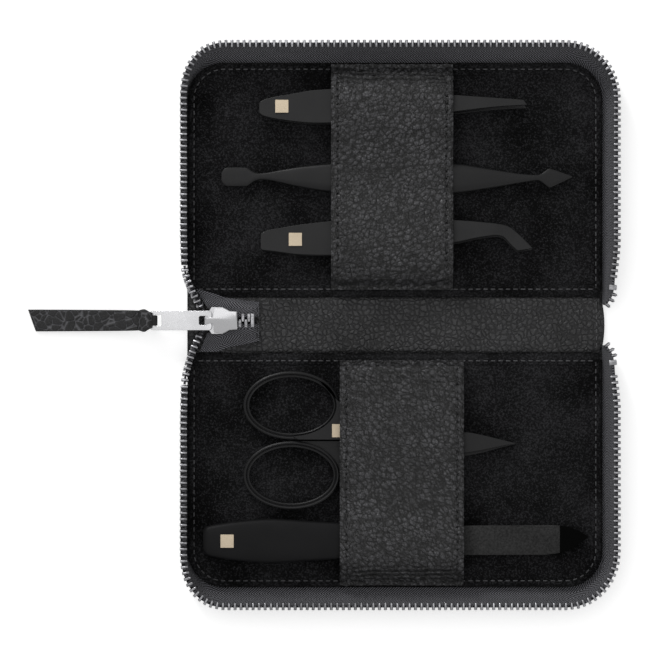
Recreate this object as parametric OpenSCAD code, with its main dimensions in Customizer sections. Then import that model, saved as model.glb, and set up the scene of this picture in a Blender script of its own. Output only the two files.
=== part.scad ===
// Zip-around leather manicure case, lying open like a book, with its six tools.
// Origin: middle of the spine's underside. +X runs along the spine, +Y towards the upper half,
// which holds the two tweezers, and +Z is up. Millimetres.

/* [Case] */
// Length of the lining along the spine
lining_length = 138; // [134:1:150]
// Depth of each half's lining, from the spine outwards
lining_depth = 75.8; // [75:0.2:84]
// Radius of the lining's two outer corners
lining_corner_r = 12; // [9:1:15]
// Distance between the spine's two fold lines
spine_width = 20; // [19.8:0.2:23]
// Thickness of the cover leather
cover_t = 1.2; // [0.9:0.1:1.5]
// Thickness of the stiffener board
board_t = 1.2; // [0.8:0.1:1.4]
// Thickness of the suede lining
lining_t = 0.8; // [0.6:0.1:1]
// Gap from a fold line to the panel's board and lining
fold_gap = 1.5; // [1.4:0.1:2]
// Thickness of the leather that faces the spine inside
facing_t = 1.2; // [0.8:0.1:1.25]
// How far the upturned cover edge stands above the table
rim_height = 5.4; // [4:0.2:7]

/* [Zip] */
// Reach of the zip beyond the lining on the far side
zip_reach_far = 7.5; // [6:0.1:8.5]
// Reach of the zip beyond the lining at the right end
zip_reach_right = 6; // [4:0.1:7]
// Reach of the zip beyond the lining at the left end
zip_reach_left = 2.6; // [2.5:0.1:4]
// Distance from one tooth to the next in a row
tooth_pitch = 2; // [1.9:0.05:2.6]
// Width of a tooth through the tape
tooth_w = 2.4; // [2:0.1:2.6]
// Height of a tooth up to the middle of the closed zip
tooth_h = 2.3; // [2:0.1:2.6]
// Thickness of the zip tape
tape_t = 0.8; // [0.5:0.1:0.9]
// Distance from the fold line to the end of the stiff zip wall at the slider
slider_bay = 10; // [9.8:0.2:13]

/* [Slider and pull] */
// Length of the slider
slider_length = 10.9; // [10.5:0.1:12]
// Width of the slider's mouth
slider_mouth_w = 9; // [8.6:0.2:10]
// Width of the slider's narrow end
slider_tail_w = 6; // [5.8:0.1:6.6]
// Thickness of each slider wing
wing_t = 0.9; // [0.7:0.1:1]
// Place of the slider across the spine
slider_y = 1.5; // [0:0.1:1.5]
// Length of the metal pull tab
tab_length = 21; // [17:0.5:24]
// Width of the metal pull tab
tab_w = 6.5; // [5.6:0.1:7.5]
// Thickness of the metal pull tab
tab_t = 1.2; // [0.9:0.1:1.3]
// Length of the leather pull strap
strap_length = 42; // [30:1:44]
// Width of the leather pull strap
strap_w = 7.3; // [5:0.1:8]
// Thickness of the folded pull strap
strap_t = 2.4; // [1.8:0.1:2.6]

/* [Bands] */
// Width of the band in the upper half
band_upper_w = 40.6; // [30:0.2:46]
// Left edge of the band in the upper half
band_upper_x = -21.3; // [-24:0.1:-18]
// Width of the band in the lower half
band_lower_w = 41.3; // [30:0.1:44]
// Left edge of the band in the lower half
band_lower_x = -18.4; // [-18.4:0.1:-14]
// Thickness of the band leather
band_t = 1.2; // [0.8:0.1:1.4]

/* [Slant tweezers] */
// Length of the slant tweezers
slant_length = 90; // [84:1:95]
// Greatest width of the slant tweezers
slant_w = 11.5; // [9:0.1:12]
// Opening between the slant tips at rest
slant_opening = 3.8; // [2:0.1:4]
// Distance of the slant tweezers from the spine's middle line
slant_row = 72.2; // [71:0.1:74]

/* [Angled tweezers] */
// Length of the angled tweezers up to the bend
angled_length = 78; // [74:1:84]
// Greatest width of the angled tweezers
angled_w = 11.6; // [9:0.1:12]
// Opening between the angled tips at rest
angled_opening = 3.2; // [2:0.1:3.4]
// Distance of the angled tweezers from the spine's middle line
angled_row = 27.7; // [27:0.1:29]

/* [Cuticle pusher] */
// Length of the cuticle pusher
pusher_length = 116.8; // [105:0.2:122]
// Greatest width of the cuticle pusher
pusher_w = 10.4; // [8:0.1:12]
// Distance of the cuticle pusher from the spine's middle line
pusher_row = 49.4; // [48.5:0.1:50.5]

/* [Scissors] */
// Length of the blades beyond the pivot
blade_length = 38.6; // [32:0.2:42]
// Thickness of each scissor half at the pivot
blade_t = 2; // [1.4:0.1:2.1]
// Long way across a finger ring, inside
ring_inner_length = 28; // [24:0.2:28.4]
// Short way across a finger ring, inside
ring_inner_width = 18.6; // [16:0.2:19]
// Thickness of a ring, seen from above
ring_wire = 2.1; // [1.6:0.1:2.2]
// Height of a ring
ring_h = 3; // [2:0.1:3.2]
// Radius of the pivot screw
screw_r = 1.6; // [1.2:0.1:2]
// Distance of the pivot from the spine's middle line
scissors_row = 38.4; // [38.2:0.1:38.8]

/* [File] */
// Length of the file's handle
handle_length = 76; // [70:1:80]
// Greatest width of the file's handle
handle_w = 14.7; // [12:0.1:15]
// Length of the file's blade
file_length = 43.1; // [36:0.1:46]
// Width of the file's blade
file_w = 9.7; // [7:0.1:10]
// Thickness of the file's blade
file_t = 1; // [0.8:0.1:1.4]
// Length of the file's glossy point
point_length = 9.6; // [6:0.1:10]
// Distance of the file from the spine's middle line
file_row = 71.9; // [71.5:0.1:73]

/* [Hidden] */

// Running and lying clearances
seat_gap = 0.1;         // between a tool and the lining below it
pin_gap = 0.05;         // between the pivot screw and its hole
tape_gap = 0.05;        // between the tape and the metal that grips it
wrap_gap = 0.05;        // between the cover's rim and the tape inside it

// Levels of the open case
floor_z = cover_t + board_t + lining_t;     // top of the lining
seat_z = floor_z + seat_gap;                // underside of what lies on it
mid_z = cover_t + spine_width / 2;          // where the two halves meet when closed
tape_top_z = mid_z - 1;
wall_z = mid_z - tooth_h - 0.1;             // above this the zip wall stands straight

// Places on each half, measured from the spine's middle line
fold_v = spine_width / 2;
lining_v = fold_v + fold_gap;
far_v = lining_v + lining_depth;
side_x = lining_length / 2;
left_wall_v = fold_v + slider_bay;
right_wall_v = lining_v + 0.1;

// Wall foot: the rim and the tape start just outside the lining
foot_d = 0.3;
rim_t = 0.9;            // skived edge of the cover's rim
corner_steps = 8;

function mix(a, b, t) = a + (b - a) * t;
function clamp01(t) = min(1, max(0, t));
function ease(t) = let (c = clamp01(t)) c * c * (3 - 2 * c);
function unit(v) = v / norm(v);
function arc_bezier(a, b, c, t) = (1 - t) * (1 - t) * a + 2 * t * (1 - t) * b + t * t * c;
function cubic_bezier(a, b, c, d, t) =
    mix(arc_bezier(a, b, c, t), arc_bezier(b, c, d, t), t);
function cubic(p0, p1, p2, p3, t) =
    0.5 * (2 * p1 + (p2 - p0) * t + (2 * p0 - 5 * p1 + 4 * p2 - p3) * t * t
        + (3 * p1 - p0 - 3 * p2 + p3) * t * t * t);
// Smooth curve through a list of points or sections
function spline(p, steps) = [
    for (i = [0 : len(p) - 2], k = [0 : steps - 1])
        cubic(p[max(i - 1, 0)], p[i], p[i + 1], p[min(i + 2, len(p) - 1)], k / steps),
    p[len(p) - 1]
];
function reversed(p) = [for (i = [len(p) - 1 : -1 : 0]) p[i]];
function signed_power(s, e) = sign(s) * pow(abs(s), e);
// Distance along a line of points, at each of its points
function run_lengths(p, i = 0, so_far = 0) =
    i == len(p) - 1 ? [so_far]
    : concat([so_far], run_lengths(p, i + 1, so_far + norm(p[i + 1] - p[i])));
function total(list) = list[len(list) - 1];
// Place on a line of points at distance s: [index of the stretch, share of the stretch]
function stretch_at(lengths, s) =
    let (i = max([for (k = [0 : len(lengths) - 2]) lengths[k] <= s ? k : 0]))
        [i, (s - lengths[i]) / (lengths[i + 1] - lengths[i])];

// Closed skin over rings of points that turn right-handed about the way they run
module skin(rings) {
    m = len(rings[0]);
    n = len(rings);
    polyhedron(
        [for (r = rings) for (p = r) p],
        concat(
            [[for (i = [0 : m - 1]) i]],
            [for (j = [0 : n - 2], i = [0 : m - 1])
                [j * m + i, (j + 1) * m + i, (j + 1) * m + (i + 1) % m, j * m + (i + 1) % m]],
            [[for (i = [m - 1 : -1 : 0]) (n - 1) * m + i]]
        ));
}

// Rounded bar along X. Each key is [x, y, z, half width, half height, turn about Z]
module loft(keys, steps, sides, squareness = 0.6) {
    skin([for (k = spline(keys, steps)) [
        for (i = [0 : sides - 1])
            let (a = 360 * (i + 0.5) / sides,
                across = k[3] * signed_power(cos(a), squareness),
                up = k[4] * signed_power(sin(a), squareness))
            [k[0] - across * sin(k[5]), k[1] + across * cos(k[5]), k[2] + up]
    ]]);
}

// The line that the zip wall follows around a half, from the slider's bay on the left, along
// the far side and down the right end. Each station is [x, v, outward x, outward v].
corner_a = [-side_x + lining_corner_r, far_v - lining_corner_r];
corner_b = [side_x - lining_corner_r, far_v - lining_corner_r];
function corner_stations(c, from, to) = [
    for (k = [0 : corner_steps])
        let (a = mix(from, to, k / corner_steps))
        [c[0] + lining_corner_r * cos(a), c[1] + lining_corner_r * sin(a), cos(a), sin(a)]
];
stations = concat(
    [for (k = [0 : 3]) [-side_x, left_wall_v + 4 * k, -1, 0]],
    corner_stations(corner_a, 180, 90),
    corner_stations(corner_b, 90, 0),
    [for (k = [4 : -1 : 0]) [side_x, right_wall_v + 5 * k, 1, 0]]
);
// Reach of the zip's outer face beyond the lining: smaller at the left end than at the others,
// and drawn in where the two rows turn towards the spine
function zip_reach(s) =
    let (side = s[2] < 0 ? zip_reach_left : zip_reach_right,
        drawn_in = s[2] < 0 ? 0.12 * (1 - ease((s[1] - left_wall_v) / 12))
            : s[2] * s[2] * 0.25 * (1 - ease((s[1] - right_wall_v) / 16)))
    (side * s[2] * s[2] + zip_reach_far * s[3] * s[3]) * (1 - drawn_in);
function wall_d(s) = max(foot_d + tape_t / 2 + 0.2, zip_reach(s) - tooth_w / 2);
function knee_d(s) = let (d = wall_d(s)) max(foot_d + tape_t / 2 + 0.2, d - 0.25 * (d - 0.9));
function placed(s, d, z) = [s[0] + s[2] * d, s[1] + s[3] * d, z];

// Face of the wall, offset sideways from the tape's middle: a curve that leaves the foot level
// and stands up towards the teeth
wall_steps = 6;
function wall_curve(s, offset, foot_z, upto) = [
    for (k = [0 : wall_steps])
        arc_bezier([foot_d, foot_z], [knee_d(s) + offset, foot_z], [wall_d(s) + offset, wall_z],
            upto * k / wall_steps)
];
tape_under_z = cover_t + wrap_gap;
function tape_section(s) = concat(
    wall_curve(s, tape_t / 2, tape_under_z, 1),
    [[wall_d(s) + tape_t / 2, tape_top_z], [wall_d(s) - tape_t / 2, tape_top_z]],
    reversed(wall_curve(s, -tape_t / 2, tape_under_z + tape_t, 1))
);
// Share of the wall's curve at which the rim ends
rim_share = sqrt((rim_height - tape_under_z) / (wall_z - tape_under_z));
function rim_section(s) = concat(
    wall_curve(s, tape_t / 2 + wrap_gap + rim_t, 0, rim_share),
    reversed(wall_curve(s, tape_t / 2 + wrap_gap, cover_t, rim_share))
);

// A half's sheet, with the two outer corners rounded
module half_sheet(v0, inset, thickness) {
    x = side_x - inset;
    r = lining_corner_r - inset;
    far = far_v - inset;
    linear_extrude(thickness) polygon(concat(
        [[-x, v0]],
        [for (k = [0 : corner_steps]) let (a = mix(180, 90, k / corner_steps))
            [-x + r + r * cos(a), far - r + r * sin(a)]],
        [for (k = [0 : corner_steps]) let (a = mix(90, 0, k / corner_steps))
            [x - r + r * cos(a), far - r + r * sin(a)]],
        [[x, v0]]
    ));
}

// Flat panel and upturned rim in one closed skin. Each section of the rim begins and ends where
// it leaves the panel, so the panel's two faces run through those points and the fold's corners.
module half_cover() {
    rings = [for (s = stations) [for (q = rim_section(s)) placed(s, q[0], q[1])]];
    m = len(rings[0]);
    n = len(rings);
    x = side_x + foot_d;
    corner = n * m;
    polyhedron(
        concat([for (r = rings) for (p = r) p],
            [[x, fold_v, 0], [-x, fold_v, 0], [-x, fold_v, cover_t], [x, fold_v, cover_t]]),
        concat(
            [[for (i = [0 : m - 1]) i]],
            [for (j = [0 : n - 2], i = [0 : m - 2])
                [j * m + i, (j + 1) * m + i, (j + 1) * m + i + 1, j * m + i + 1]],
            [[for (i = [m - 1 : -1 : 0]) (n - 1) * m + i]],
            [concat([for (j = [0 : n - 1]) j * m + m - 1], [corner + 3, corner + 2])],
            [concat([for (j = [n - 1 : -1 : 0]) j * m], [corner + 1, corner])],
            [[0, m - 1, corner + 2, corner + 1]],
            [[n * m - 1, (n - 1) * m, corner, corner + 3]],
            [[corner + 3, corner, corner + 1, corner + 2]]
        ));
}

module half_board() {
    translate([0, 0, cover_t]) half_sheet(lining_v + 0.3, 0.3, board_t);
}

module half_lining() {
    translate([0, 0, cover_t + board_t]) half_sheet(lining_v, 0, lining_t);
}

module half_tape() {
    skin([for (s = stations) [for (q = tape_section(s)) placed(s, q[0], q[1])]]);
}

// One metal tooth. Its middle line is Z, the closed zip's middle is at z = 0, the chain runs
// along X, and the slot below grips the tape's edge.
tooth_base = tooth_pitch / 2 - 0.5;     // half thickness along the chain
tooth_tip = 0.62 * tooth_base;
tooth_bite = 0.4;                       // how far a tooth reaches past the middle
grip_z = mid_z - tape_top_z;            // depth of the tape's edge below the middle
module tooth() {
    rotate([90, 0, 0]) translate([0, 0, -tooth_w / 2]) linear_extrude(tooth_w) polygon([
        [-tooth_base, -tooth_h], [tooth_base, -tooth_h], [tooth_base, -tooth_bite],
        [tooth_tip, tooth_bite], [-tooth_tip, tooth_bite], [-tooth_base, -tooth_bite]
    ]);
}
module grip_slot(length) {
    slot_w = tape_t + 2 * tape_gap;
    translate([-length / 2, -slot_w / 2, -tooth_h - 1])
        cube([length, slot_w, tooth_h + 1 - grip_z + tape_gap]);
}
module gripping_tooth() {
    difference() {
        tooth();
        grip_slot(tooth_pitch);
    }
}

// Row of teeth around a half. Shift is the share of a pitch by which the row starts later.
row_line = [for (s = stations) [s[0] + s[2] * wall_d(s), s[1] + s[3] * wall_d(s)]];
row_lengths = run_lengths(row_line);
stop_length = 1.8;
row_count = floor((total(row_lengths) - stop_length - tooth_pitch) / tooth_pitch);
function row_way(i) =
    unit(row_line[min(i + 1, len(row_line) - 1)] - row_line[max(i - 1, 0)]);
module on_row(distance) {
    place = stretch_at(row_lengths, distance);
    p = mix(row_line[place[0]], row_line[place[0] + 1], place[1]);
    way = mix(row_way(place[0]), row_way(place[0] + 1), place[1]);
    translate([p[0], p[1], mid_z]) rotate([0, 0, atan2(way[1], way[0])]) children();
}
module half_teeth(shift) {
    for (i = [0 : row_count - 1])
        on_row((i + 0.25 + shift) * tooth_pitch) gripping_tooth();
}
module half_top_stop() {
    on_row(total(row_lengths) - stop_length / 2) difference() {
        translate([-stop_length / 2, -tooth_w / 2 - 0.1, -tooth_h])
            cube([stop_length, tooth_w + 0.2, tooth_h - 0.2]);
        grip_slot(stop_length + 1);
    }
}

// Leather band across a half, sewn down at the spine and at the far edge. The keys are
// [distance from the spine's middle line, height of the band's underside above the lining].
hem = 1.6;
band_steps = 3;
module half_band(x0, width, keys) {
    under = spline(concat(
        [[lining_v + 0.1, seat_gap], [lining_v + hem, seat_gap]], keys,
        [[far_v - hem, seat_gap], [far_v - 0.1, seat_gap]]), band_steps);
    over = [for (p = under) [p[0], max(p[1], seat_gap) + band_t]];
    translate([x0, 0, floor_z]) rotate([90, 0, 90]) linear_extrude(width)
        polygon(concat([for (p = under) [p[0], max(p[1], seat_gap)]], reversed(over)));
}
band_upper_keys = [
    [lining_v + 4, 4], [angled_row - 6.5, 6.6], [angled_row + 1, 7.3], [angled_row + 10, 6.2],
    [pusher_row - 5, 4.8], [pusher_row + 3, 4.8], [pusher_row + 12, 5.8],
    [slant_row - 6, 7.1], [slant_row + 1, 7.5], [slant_row + 7.5, 6.2]
];
band_lower_keys = [
    [lining_v + 3, 4.2], [scissors_row - 18, 5.2], [scissors_row - 8, 5.5], [scissors_row + 4, 5.4],
    [scissors_row + 16, 4.9], [file_row - 7, 5.3], [file_row, 5.7], [file_row + 7, 5]
];

// Slider: two wings joined by a post between the two rows, open at the mouth on the left
wing_gap = 0.1;                         // from a wing to the teeth, and to the facing
chain_z = cover_t + facing_t + wing_t + 2 * wing_gap + tooth_w / 2;     // middle of the chain
slider_x = -side_x + 5.6;                                           // its left end
slider_end_x = slider_x + slider_length;
lower_wing_z = chain_z - tooth_w / 2 - wing_gap - wing_t;
upper_wing_z = chain_z + tooth_w / 2 + wing_gap;
flange_t = 0.6;
flange_slot = tape_t + 0.3;             // room for the tape between the two flanges
function wing_half(inset) = [
    [slider_x + 2.3, slider_mouth_w / 2 - inset],
    [slider_x + 5.9, slider_mouth_w / 2 - inset],
    [slider_x + 8.3, slider_tail_w / 2 + 0.2 - inset],
    [slider_end_x, slider_tail_w / 2 - inset]
];
function flipped(p) = [for (q = p) [q[0], -q[1]]];
module wing() {
    linear_extrude(wing_t) polygon(concat(
        [[slider_x, 1.1]], wing_half(0), reversed(flipped(wing_half(0))), [[slider_x, -1.1]]));
}
module flanges(height) {
    for (side = [0, 1]) mirror([0, side, 0]) linear_extrude(height)
        polygon(concat(wing_half(0), reversed(wing_half(flange_t))));
}
post_length = 2.8;
module slider_wings() {
    flange_h = (upper_wing_z - lower_wing_z - wing_t - flange_slot) / 2;
    translate([0, slider_y, 0]) {
        translate([0, 0, lower_wing_z]) wing();
        translate([0, 0, upper_wing_z]) wing();
        translate([0, 0, lower_wing_z + wing_t]) flanges(flange_h);
        translate([0, 0, upper_wing_z - flange_h]) flanges(flange_h);
        translate([slider_x + 0.5, 0, lower_wing_z])
            linear_extrude(upper_wing_z - lower_wing_z + wing_t)
                polygon([[0, -0.7], [post_length / 2, -0.9], [post_length, 0],
                    [post_length / 2, 0.9], [0, 0.7]]);
    }
}

// Crown on the upper wing. The pull tab's end bar lies under its narrow nose, whose front leg
// stands in the tab's eye. Behind them it is as broad as the wings, with a ridge along it, level
// on the upper side and sloping on the lower one.
bridge_z = upper_wing_z + wing_t;
bridge_w = 2;
bridge_leg = 0.85;
bar_room = 0.95;                        // free radius around the tab's end bar
pull_x = slider_x + bridge_leg + bar_room;
pull_z = bridge_z + 0.15 + bar_room;
bridge_top = 0.9;
crown_z = pull_z + bar_room + bridge_top;
crown_x = pull_x + bar_room;            // from here the crown is broad
crown_inset = 0.15;
ridge_y = 0.5;
module crown_side() {
    translate([0, slider_mouth_w, 0]) rotate([90, 0, 0]) linear_extrude(2 * slider_mouth_w)
        polygon([
            [slider_x, bridge_z], [slider_x + bridge_leg, bridge_z],
            [slider_x + bridge_leg, pull_z + bar_room - 0.2],
            [slider_x + bridge_leg + 0.2, pull_z + bar_room],
            [crown_x - 0.2, pull_z + bar_room], [crown_x, pull_z + bar_room - 0.2],
            [crown_x, bridge_z], [slider_end_x, bridge_z],
            [slider_end_x, crown_z - 0.5], [slider_end_x - 0.5, crown_z],
            [slider_x + 0.6, crown_z], [slider_x, crown_z - 0.6]
        ]);
}
module crown_plan() {
    edge = [for (q = wing_half(crown_inset)) if (q[0] > crown_x + 1) q];
    half = concat([[slider_x, bridge_w / 2], [crown_x, bridge_w / 2],
        [crown_x + 0.4, slider_mouth_w / 2 - 0.5]], edge);
    linear_extrude(2 * crown_z) polygon(concat(half, reversed(flipped(half))));
}
module crown_roof() {
    w = slider_mouth_w / 2;
    rotate([90, 0, 90]) translate([0, 0, slider_x]) linear_extrude(slider_length) polygon([
        [-w, bridge_z], [w, bridge_z], [w, crown_z - 0.5], [w - 1, crown_z - 0.2],
        [ridge_y, crown_z], [-w / 2, crown_z - 0.6], [-w, crown_z - 1.6]
    ]);
}
module bridge() {
    translate([0, slider_y, 0]) intersection() {
        crown_side();
        crown_plan();
        crown_roof();
    }
}

// Flat metal tab with an eye for the bridge and a slot for the strap, sloping to the table
tab_slope = 8;
tab_bar = 0.65;                         // half length of the tab's end bar
eye_length = 3;
eye_w = bridge_w + 1;
strap_neck_w = 3.4;                     // strap's width where it passes through the slot
strap_slot_w = strap_neck_w + 0.3;
strap_bar = 0.85;                       // half length of the bar that the strap turns round
strap_slot_length = 2.4;
strap_bar_x = tab_length - tab_bar - strap_bar;     // from the eye's bar to the strap's bar
module rounded_box(x0, x1, width, height, r) {
    translate([0, 0, -height / 2]) linear_extrude(height) union() {
        translate([x0 + r, -width / 2]) square([x1 - x0 - 2 * r, width]);
        translate([x0, -width / 2 + r]) square([x1 - x0, width - 2 * r]);
        for (x = [x0 + r, x1 - r], y = [-width / 2 + r, width / 2 - r])
            translate([x, y]) circle(r, $fn = 32);
    }
}
module on_pull() {
    translate([pull_x, slider_y, pull_z]) rotate([0, -tab_slope, 0]) children();
}
module tab() {
    on_pull() difference() {
        rounded_box(tab_bar - tab_length, tab_bar, tab_w, tab_t, 1.2);
        rounded_box(-tab_bar - eye_length, -tab_bar, eye_w, tab_t + 1, 0.6);
        rounded_box(strap_bar - strap_bar_x, strap_bar + strap_slot_length - strap_bar_x,
            strap_slot_w, tab_t + 1, 0.4);
    }
}

// Leather strap, folded round the tab's end bar, sewn into two layers and lying to the left
strap_x = pull_x - strap_bar_x * cos(tab_slope);
strap_z = pull_z - strap_bar_x * sin(tab_slope);
loop_r = 1.3;
loop_t = 1;
strap_keys = [
    [-1.2, 0, 2.25], [-3, -0.2, 2.3], [-5.5, -0.5, 1.75], [-8, -0.8, strap_t / 2],
    [-0.4 * strap_length, -1.9, strap_t / 2], [-0.7 * strap_length, -3, strap_t / 2],
    [-strap_length, strap_t / 2 + 0.15 - strap_z, strap_t / 2]
];
strap_end_slant = 3;                    // the strap's end is cut on the slant
module strap() {
    line = spline(strap_keys, 3);
    translate([strap_x, slider_y, strap_z]) {
        rotate([90, 0, 0]) translate([0, 0, -strap_neck_w / 2]) linear_extrude(strap_neck_w)
            difference() {
                circle(loop_r + loop_t, $fn = 48);
                circle(loop_r, $fn = 48);
            }
        difference() {
            rotate([90, 0, 0]) translate([0, 0, -strap_w / 2]) linear_extrude(strap_w)
                polygon(concat([for (k = line) [k[0], k[1] + k[2]]],
                    reversed([for (k = line) [k[0], k[1] - k[2]]])));
            rotate([90, 0, 0]) translate([0, 0, -strap_w])
                cylinder(h = 2 * strap_w, r = loop_r + 0.15, $fn = 48);
            translate([0, 0, -strap_z]) linear_extrude(4 * strap_t)
                polygon([[-strap_length - 1, strap_w / 2 + 1], [-strap_length - 1, -strap_w],
                    [-strap_length + strap_end_slant, -strap_w / 2 - 0.01],
                    [-strap_length, strap_w / 2 + 0.01]]);
        }
    }
}

// End of the two tapes, sewn down over the spine, with the joined stretch of teeth
joined_count = 4;
joined_x = slider_end_x + 0.3 + tooth_base;     // the first joined tooth
stop_x = joined_x + (joined_count - 0.5) * tooth_pitch / 2 + 0.1;
stop_w = 1.2;
tape_end_half = 6;
tape_end_x = slider_x + 0.7;
tape_foot_x = stop_x + stop_w + 0.1;            // from here the tapes slope down to the spine
tape_slope_length = 1;
tape_foot_length = 0.8;
tape_slit = grip_z;
facing_top_z = cover_t + facing_t;
module tape_end_profile() {
    z0 = chain_z - tape_t / 2;
    z1 = facing_top_z + 0.02;
    x1 = tape_foot_x + tape_slope_length;
    x2 = x1 + tape_foot_length;
    rotate([90, 0, 0]) linear_extrude(2 * tape_end_half + 1, center = true) polygon([
        [tape_end_x, z0], [tape_foot_x, z0], [x1, z1], [x2, z1],
        [x2, z1 + tape_t], [x1 + 0.4, z1 + tape_t], [tape_foot_x + 0.4, z0 + tape_t],
        [tape_end_x, z0 + tape_t]
    ]);
}
module tape_end() {
    x2 = tape_foot_x + tape_slope_length + tape_foot_length;
    mouth_x = slider_x + post_length + 2;
    translate([0, slider_y, 0]) intersection() {
        tape_end_profile();
        linear_extrude(chain_z + 2) for (side = [0, 1]) mirror([0, side])
            polygon([[x2 + 1, tape_slit], [x2 + 1, tape_end_half], [tape_end_x, tape_end_half],
                [tape_end_x, slider_mouth_w / 2 - 0.2], [mouth_x, tape_slit]]);
    }
}
module joined_teeth() {
    for (i = [0 : joined_count - 1])
        translate([joined_x + i * tooth_pitch / 2, slider_y, chain_z])
            rotate([i % 2 == 0 ? -90 : 90, 0, 0]) gripping_tooth();
}
module bottom_stop() {
    translate([stop_x, slider_y, chain_z]) difference() {
        translate([0, -tooth_h, -tooth_w / 2]) cube([stop_w, 2 * tooth_h, tooth_w]);
        for (side = [0, 1]) mirror([0, side, 0])
            translate([-1, tape_slit - tape_gap, -tape_t / 2 - tape_gap])
                cube([stop_w + 2, tooth_h, tape_t + 2 * tape_gap]);
    }
}

// Loose stretch of one row, from the end of the stiff wall down to the slider's mouth. The tape
// turns from standing to lying on the way.
link_steps = 8;
// The middle of the slider lies at c in the half's own frame.
link_start = [-side_x - wall_d(stations[0]), left_wall_v - 0.3, mid_z];
link_a = [link_start[0] + 0.5, left_wall_v - 5.5, mid_z];
function link_point(t, c) = cubic_bezier(link_start, link_a,
    [slider_x - 4, c + 9, chain_z + 2.8], [slider_x - 0.6, c + 2.9, chain_z], t);
function link_run(t, c) =
    unit(link_point(min(1, t + 0.02), c) - link_point(max(0, t - 0.02), c));
function link_up(t, c) =
    let (run = link_run(t, c), want = mix([0, 0, 1], [0.3, -0.95, 0], ease(t)))
    unit(want - (want * run) * run);
// The tape's free edge stays above the lining
function link_reach(t, c) = min(mix(mid_z - floor_z - 0.8, 6.4, t),
    (link_point(t, c)[2] - floor_z - 0.8) / max(0.05, link_up(t, c)[2]));
module link_tape(c) {
    skin([for (k = [0 : link_steps])
        let (t = k / link_steps, p = link_point(t, c), up = link_up(t, c),
            side = cross(up, link_run(t, c)) * tape_t / 2, reach = link_reach(t, c))
        [p - up * reach + side, p - up * grip_z + side, p - up * grip_z - side,
            p - up * reach - side]]);
}
module link_teeth(c) {
    lengths = run_lengths([for (k = [0 : 4 * link_steps]) link_point(k / (4 * link_steps), c)]);
    count = floor((total(lengths) - 0.4 * tooth_pitch) / tooth_pitch);
    for (i = [0 : count - 1]) {
        place = stretch_at(lengths, (i + 0.75) * tooth_pitch);
        t = (place[0] + place[1]) / (4 * link_steps);
        p = link_point(t, c);
        x = link_run(t, c);
        z = link_up(t, c);
        y = cross(z, x);
        multmatrix([[x[0], y[0], z[0], p[0]], [x[1], y[1], z[1], p[1]],
            [x[2], y[2], z[2], p[2]], [0, 0, 0, 1]]) gripping_tooth();
    }
}

// Tweezers: two arms joined at the rear, rolled a little to one side under their band. The keys
// give the outline: [share of the length, sideways, half width as a share, turn].
arm_t = 1.2;
arm_gap = 0.1;
slant_x = -45.2;
slant_roll = 11;
slant_tip_w = 1.8;
slant_outline = [
    [0, -0.3, 0.2, 0], [0.004, -0.3, 0.34, 0], [0.015, -0.3, 0.47, 0], [0.057, -0.3, 0.65, 0],
    [0.125, -0.3, 0.82, 0], [0.19, -0.1, 0.96, 0], [0.27, 0.1, 1, 0], [0.38, 0.3, 0.98, 0],
    [0.5, 0.4, 0.86, 0], [0.62, 0.5, 0.68, 0], [0.72, 0.6, 0.5, 0], [0.85, 0.8, 0.3, 0],
    [0.92, 0.8, 0.22, 0], [1, 0.7, slant_tip_w / slant_w, 0]
];
angled_x = -44.7;
angled_roll = 7;
angled_outline = [
    [0, -0.2, 0.3, 0], [0.005, -0.1, 0.45, 0], [0.015, 0, 0.55, 0], [0.033, 0.2, 0.6, 0],
    [0.09, 0.3, 0.72, 0], [0.163, 0.4, 0.86, 0], [0.29, 0.8, 0.98, 0], [0.45, 1.5, 1, 0],
    [0.64, 2.3, 0.86, 0], [0.82, 2.9, 0.66, 0], [0.92, 3.4, 0.47, 0], [0.98, 3.5, 0.37, 0],
    [1.01, 3.4, 0.34, -15], [1.04, 2.9, 0.34, -32], [1.063, 1.7, 0.35, -44],
    [1.126, -3.2, 0.45, -81]
];
function arm_height(share, opening, upper) =
    upper * (arm_t + arm_gap + opening * pow(clamp01(share), 0.9));
// Upper is 1 for the upper arm and 0 for the lower one
function arm_keys(outline, length, width, opening, upper) = [
    for (k = outline) [k[0] * length, k[1], arm_t / 2 + arm_height(k[0], opening, upper),
        k[2] * width / 2, arm_t / 2 * (k[0] > 0.8 ? 0.8 : 1), k[3]]
];
module arm(outline, length, width, opening, upper) {
    loft(arm_keys(outline, length, width, opening, upper), 1, 12, 0.4);
}
// The slant tips are cut off at an angle
tip_slant = 3.2;
module slant_arm(upper) {
    difference() {
        arm(slant_outline, slant_length, slant_w, slant_opening, upper);
        translate([0, 0, -1]) linear_extrude(4 * slant_opening + 4) polygon([
            [slant_length + 1, -slant_tip_w], [slant_length + 1, slant_tip_w],
            [slant_length - tip_slant / 2 - 1, slant_tip_w], [slant_length + 0.4, -slant_tip_w]
        ]);
    }
}
module on_slant() {
    translate([slant_x, slant_row, seat_z + slant_w / 2 * sin(slant_roll)])
        rotate([-slant_roll, 0, 0]) children();
}
module on_angled() {
    translate([angled_x, angled_row, seat_z + (angled_w / 2 + 1.2) * sin(angled_roll)])
        rotate([-angled_roll, 0, 0]) children();
}
// Plain square inlay let onto a tool
inlay_side = 4.4;
inlay_t = 0.3;
module inlay(x, y, z) {
    translate([x - inlay_side / 2, y - inlay_side / 2, z]) cube([inlay_side, inlay_side, inlay_t]);
}
inlay_gap = 0.05;                       // between an inlay and the tool below it
function inlay_z(share, opening) = arm_t + arm_height(share, opening, 1) + inlay_gap;

// Double-ended pusher: a rounded paddle, a swelling grip and a leaf-shaped point
pusher_x = -57.8;
pusher_t = 3.8;
pusher_z = pusher_t / 2;
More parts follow.
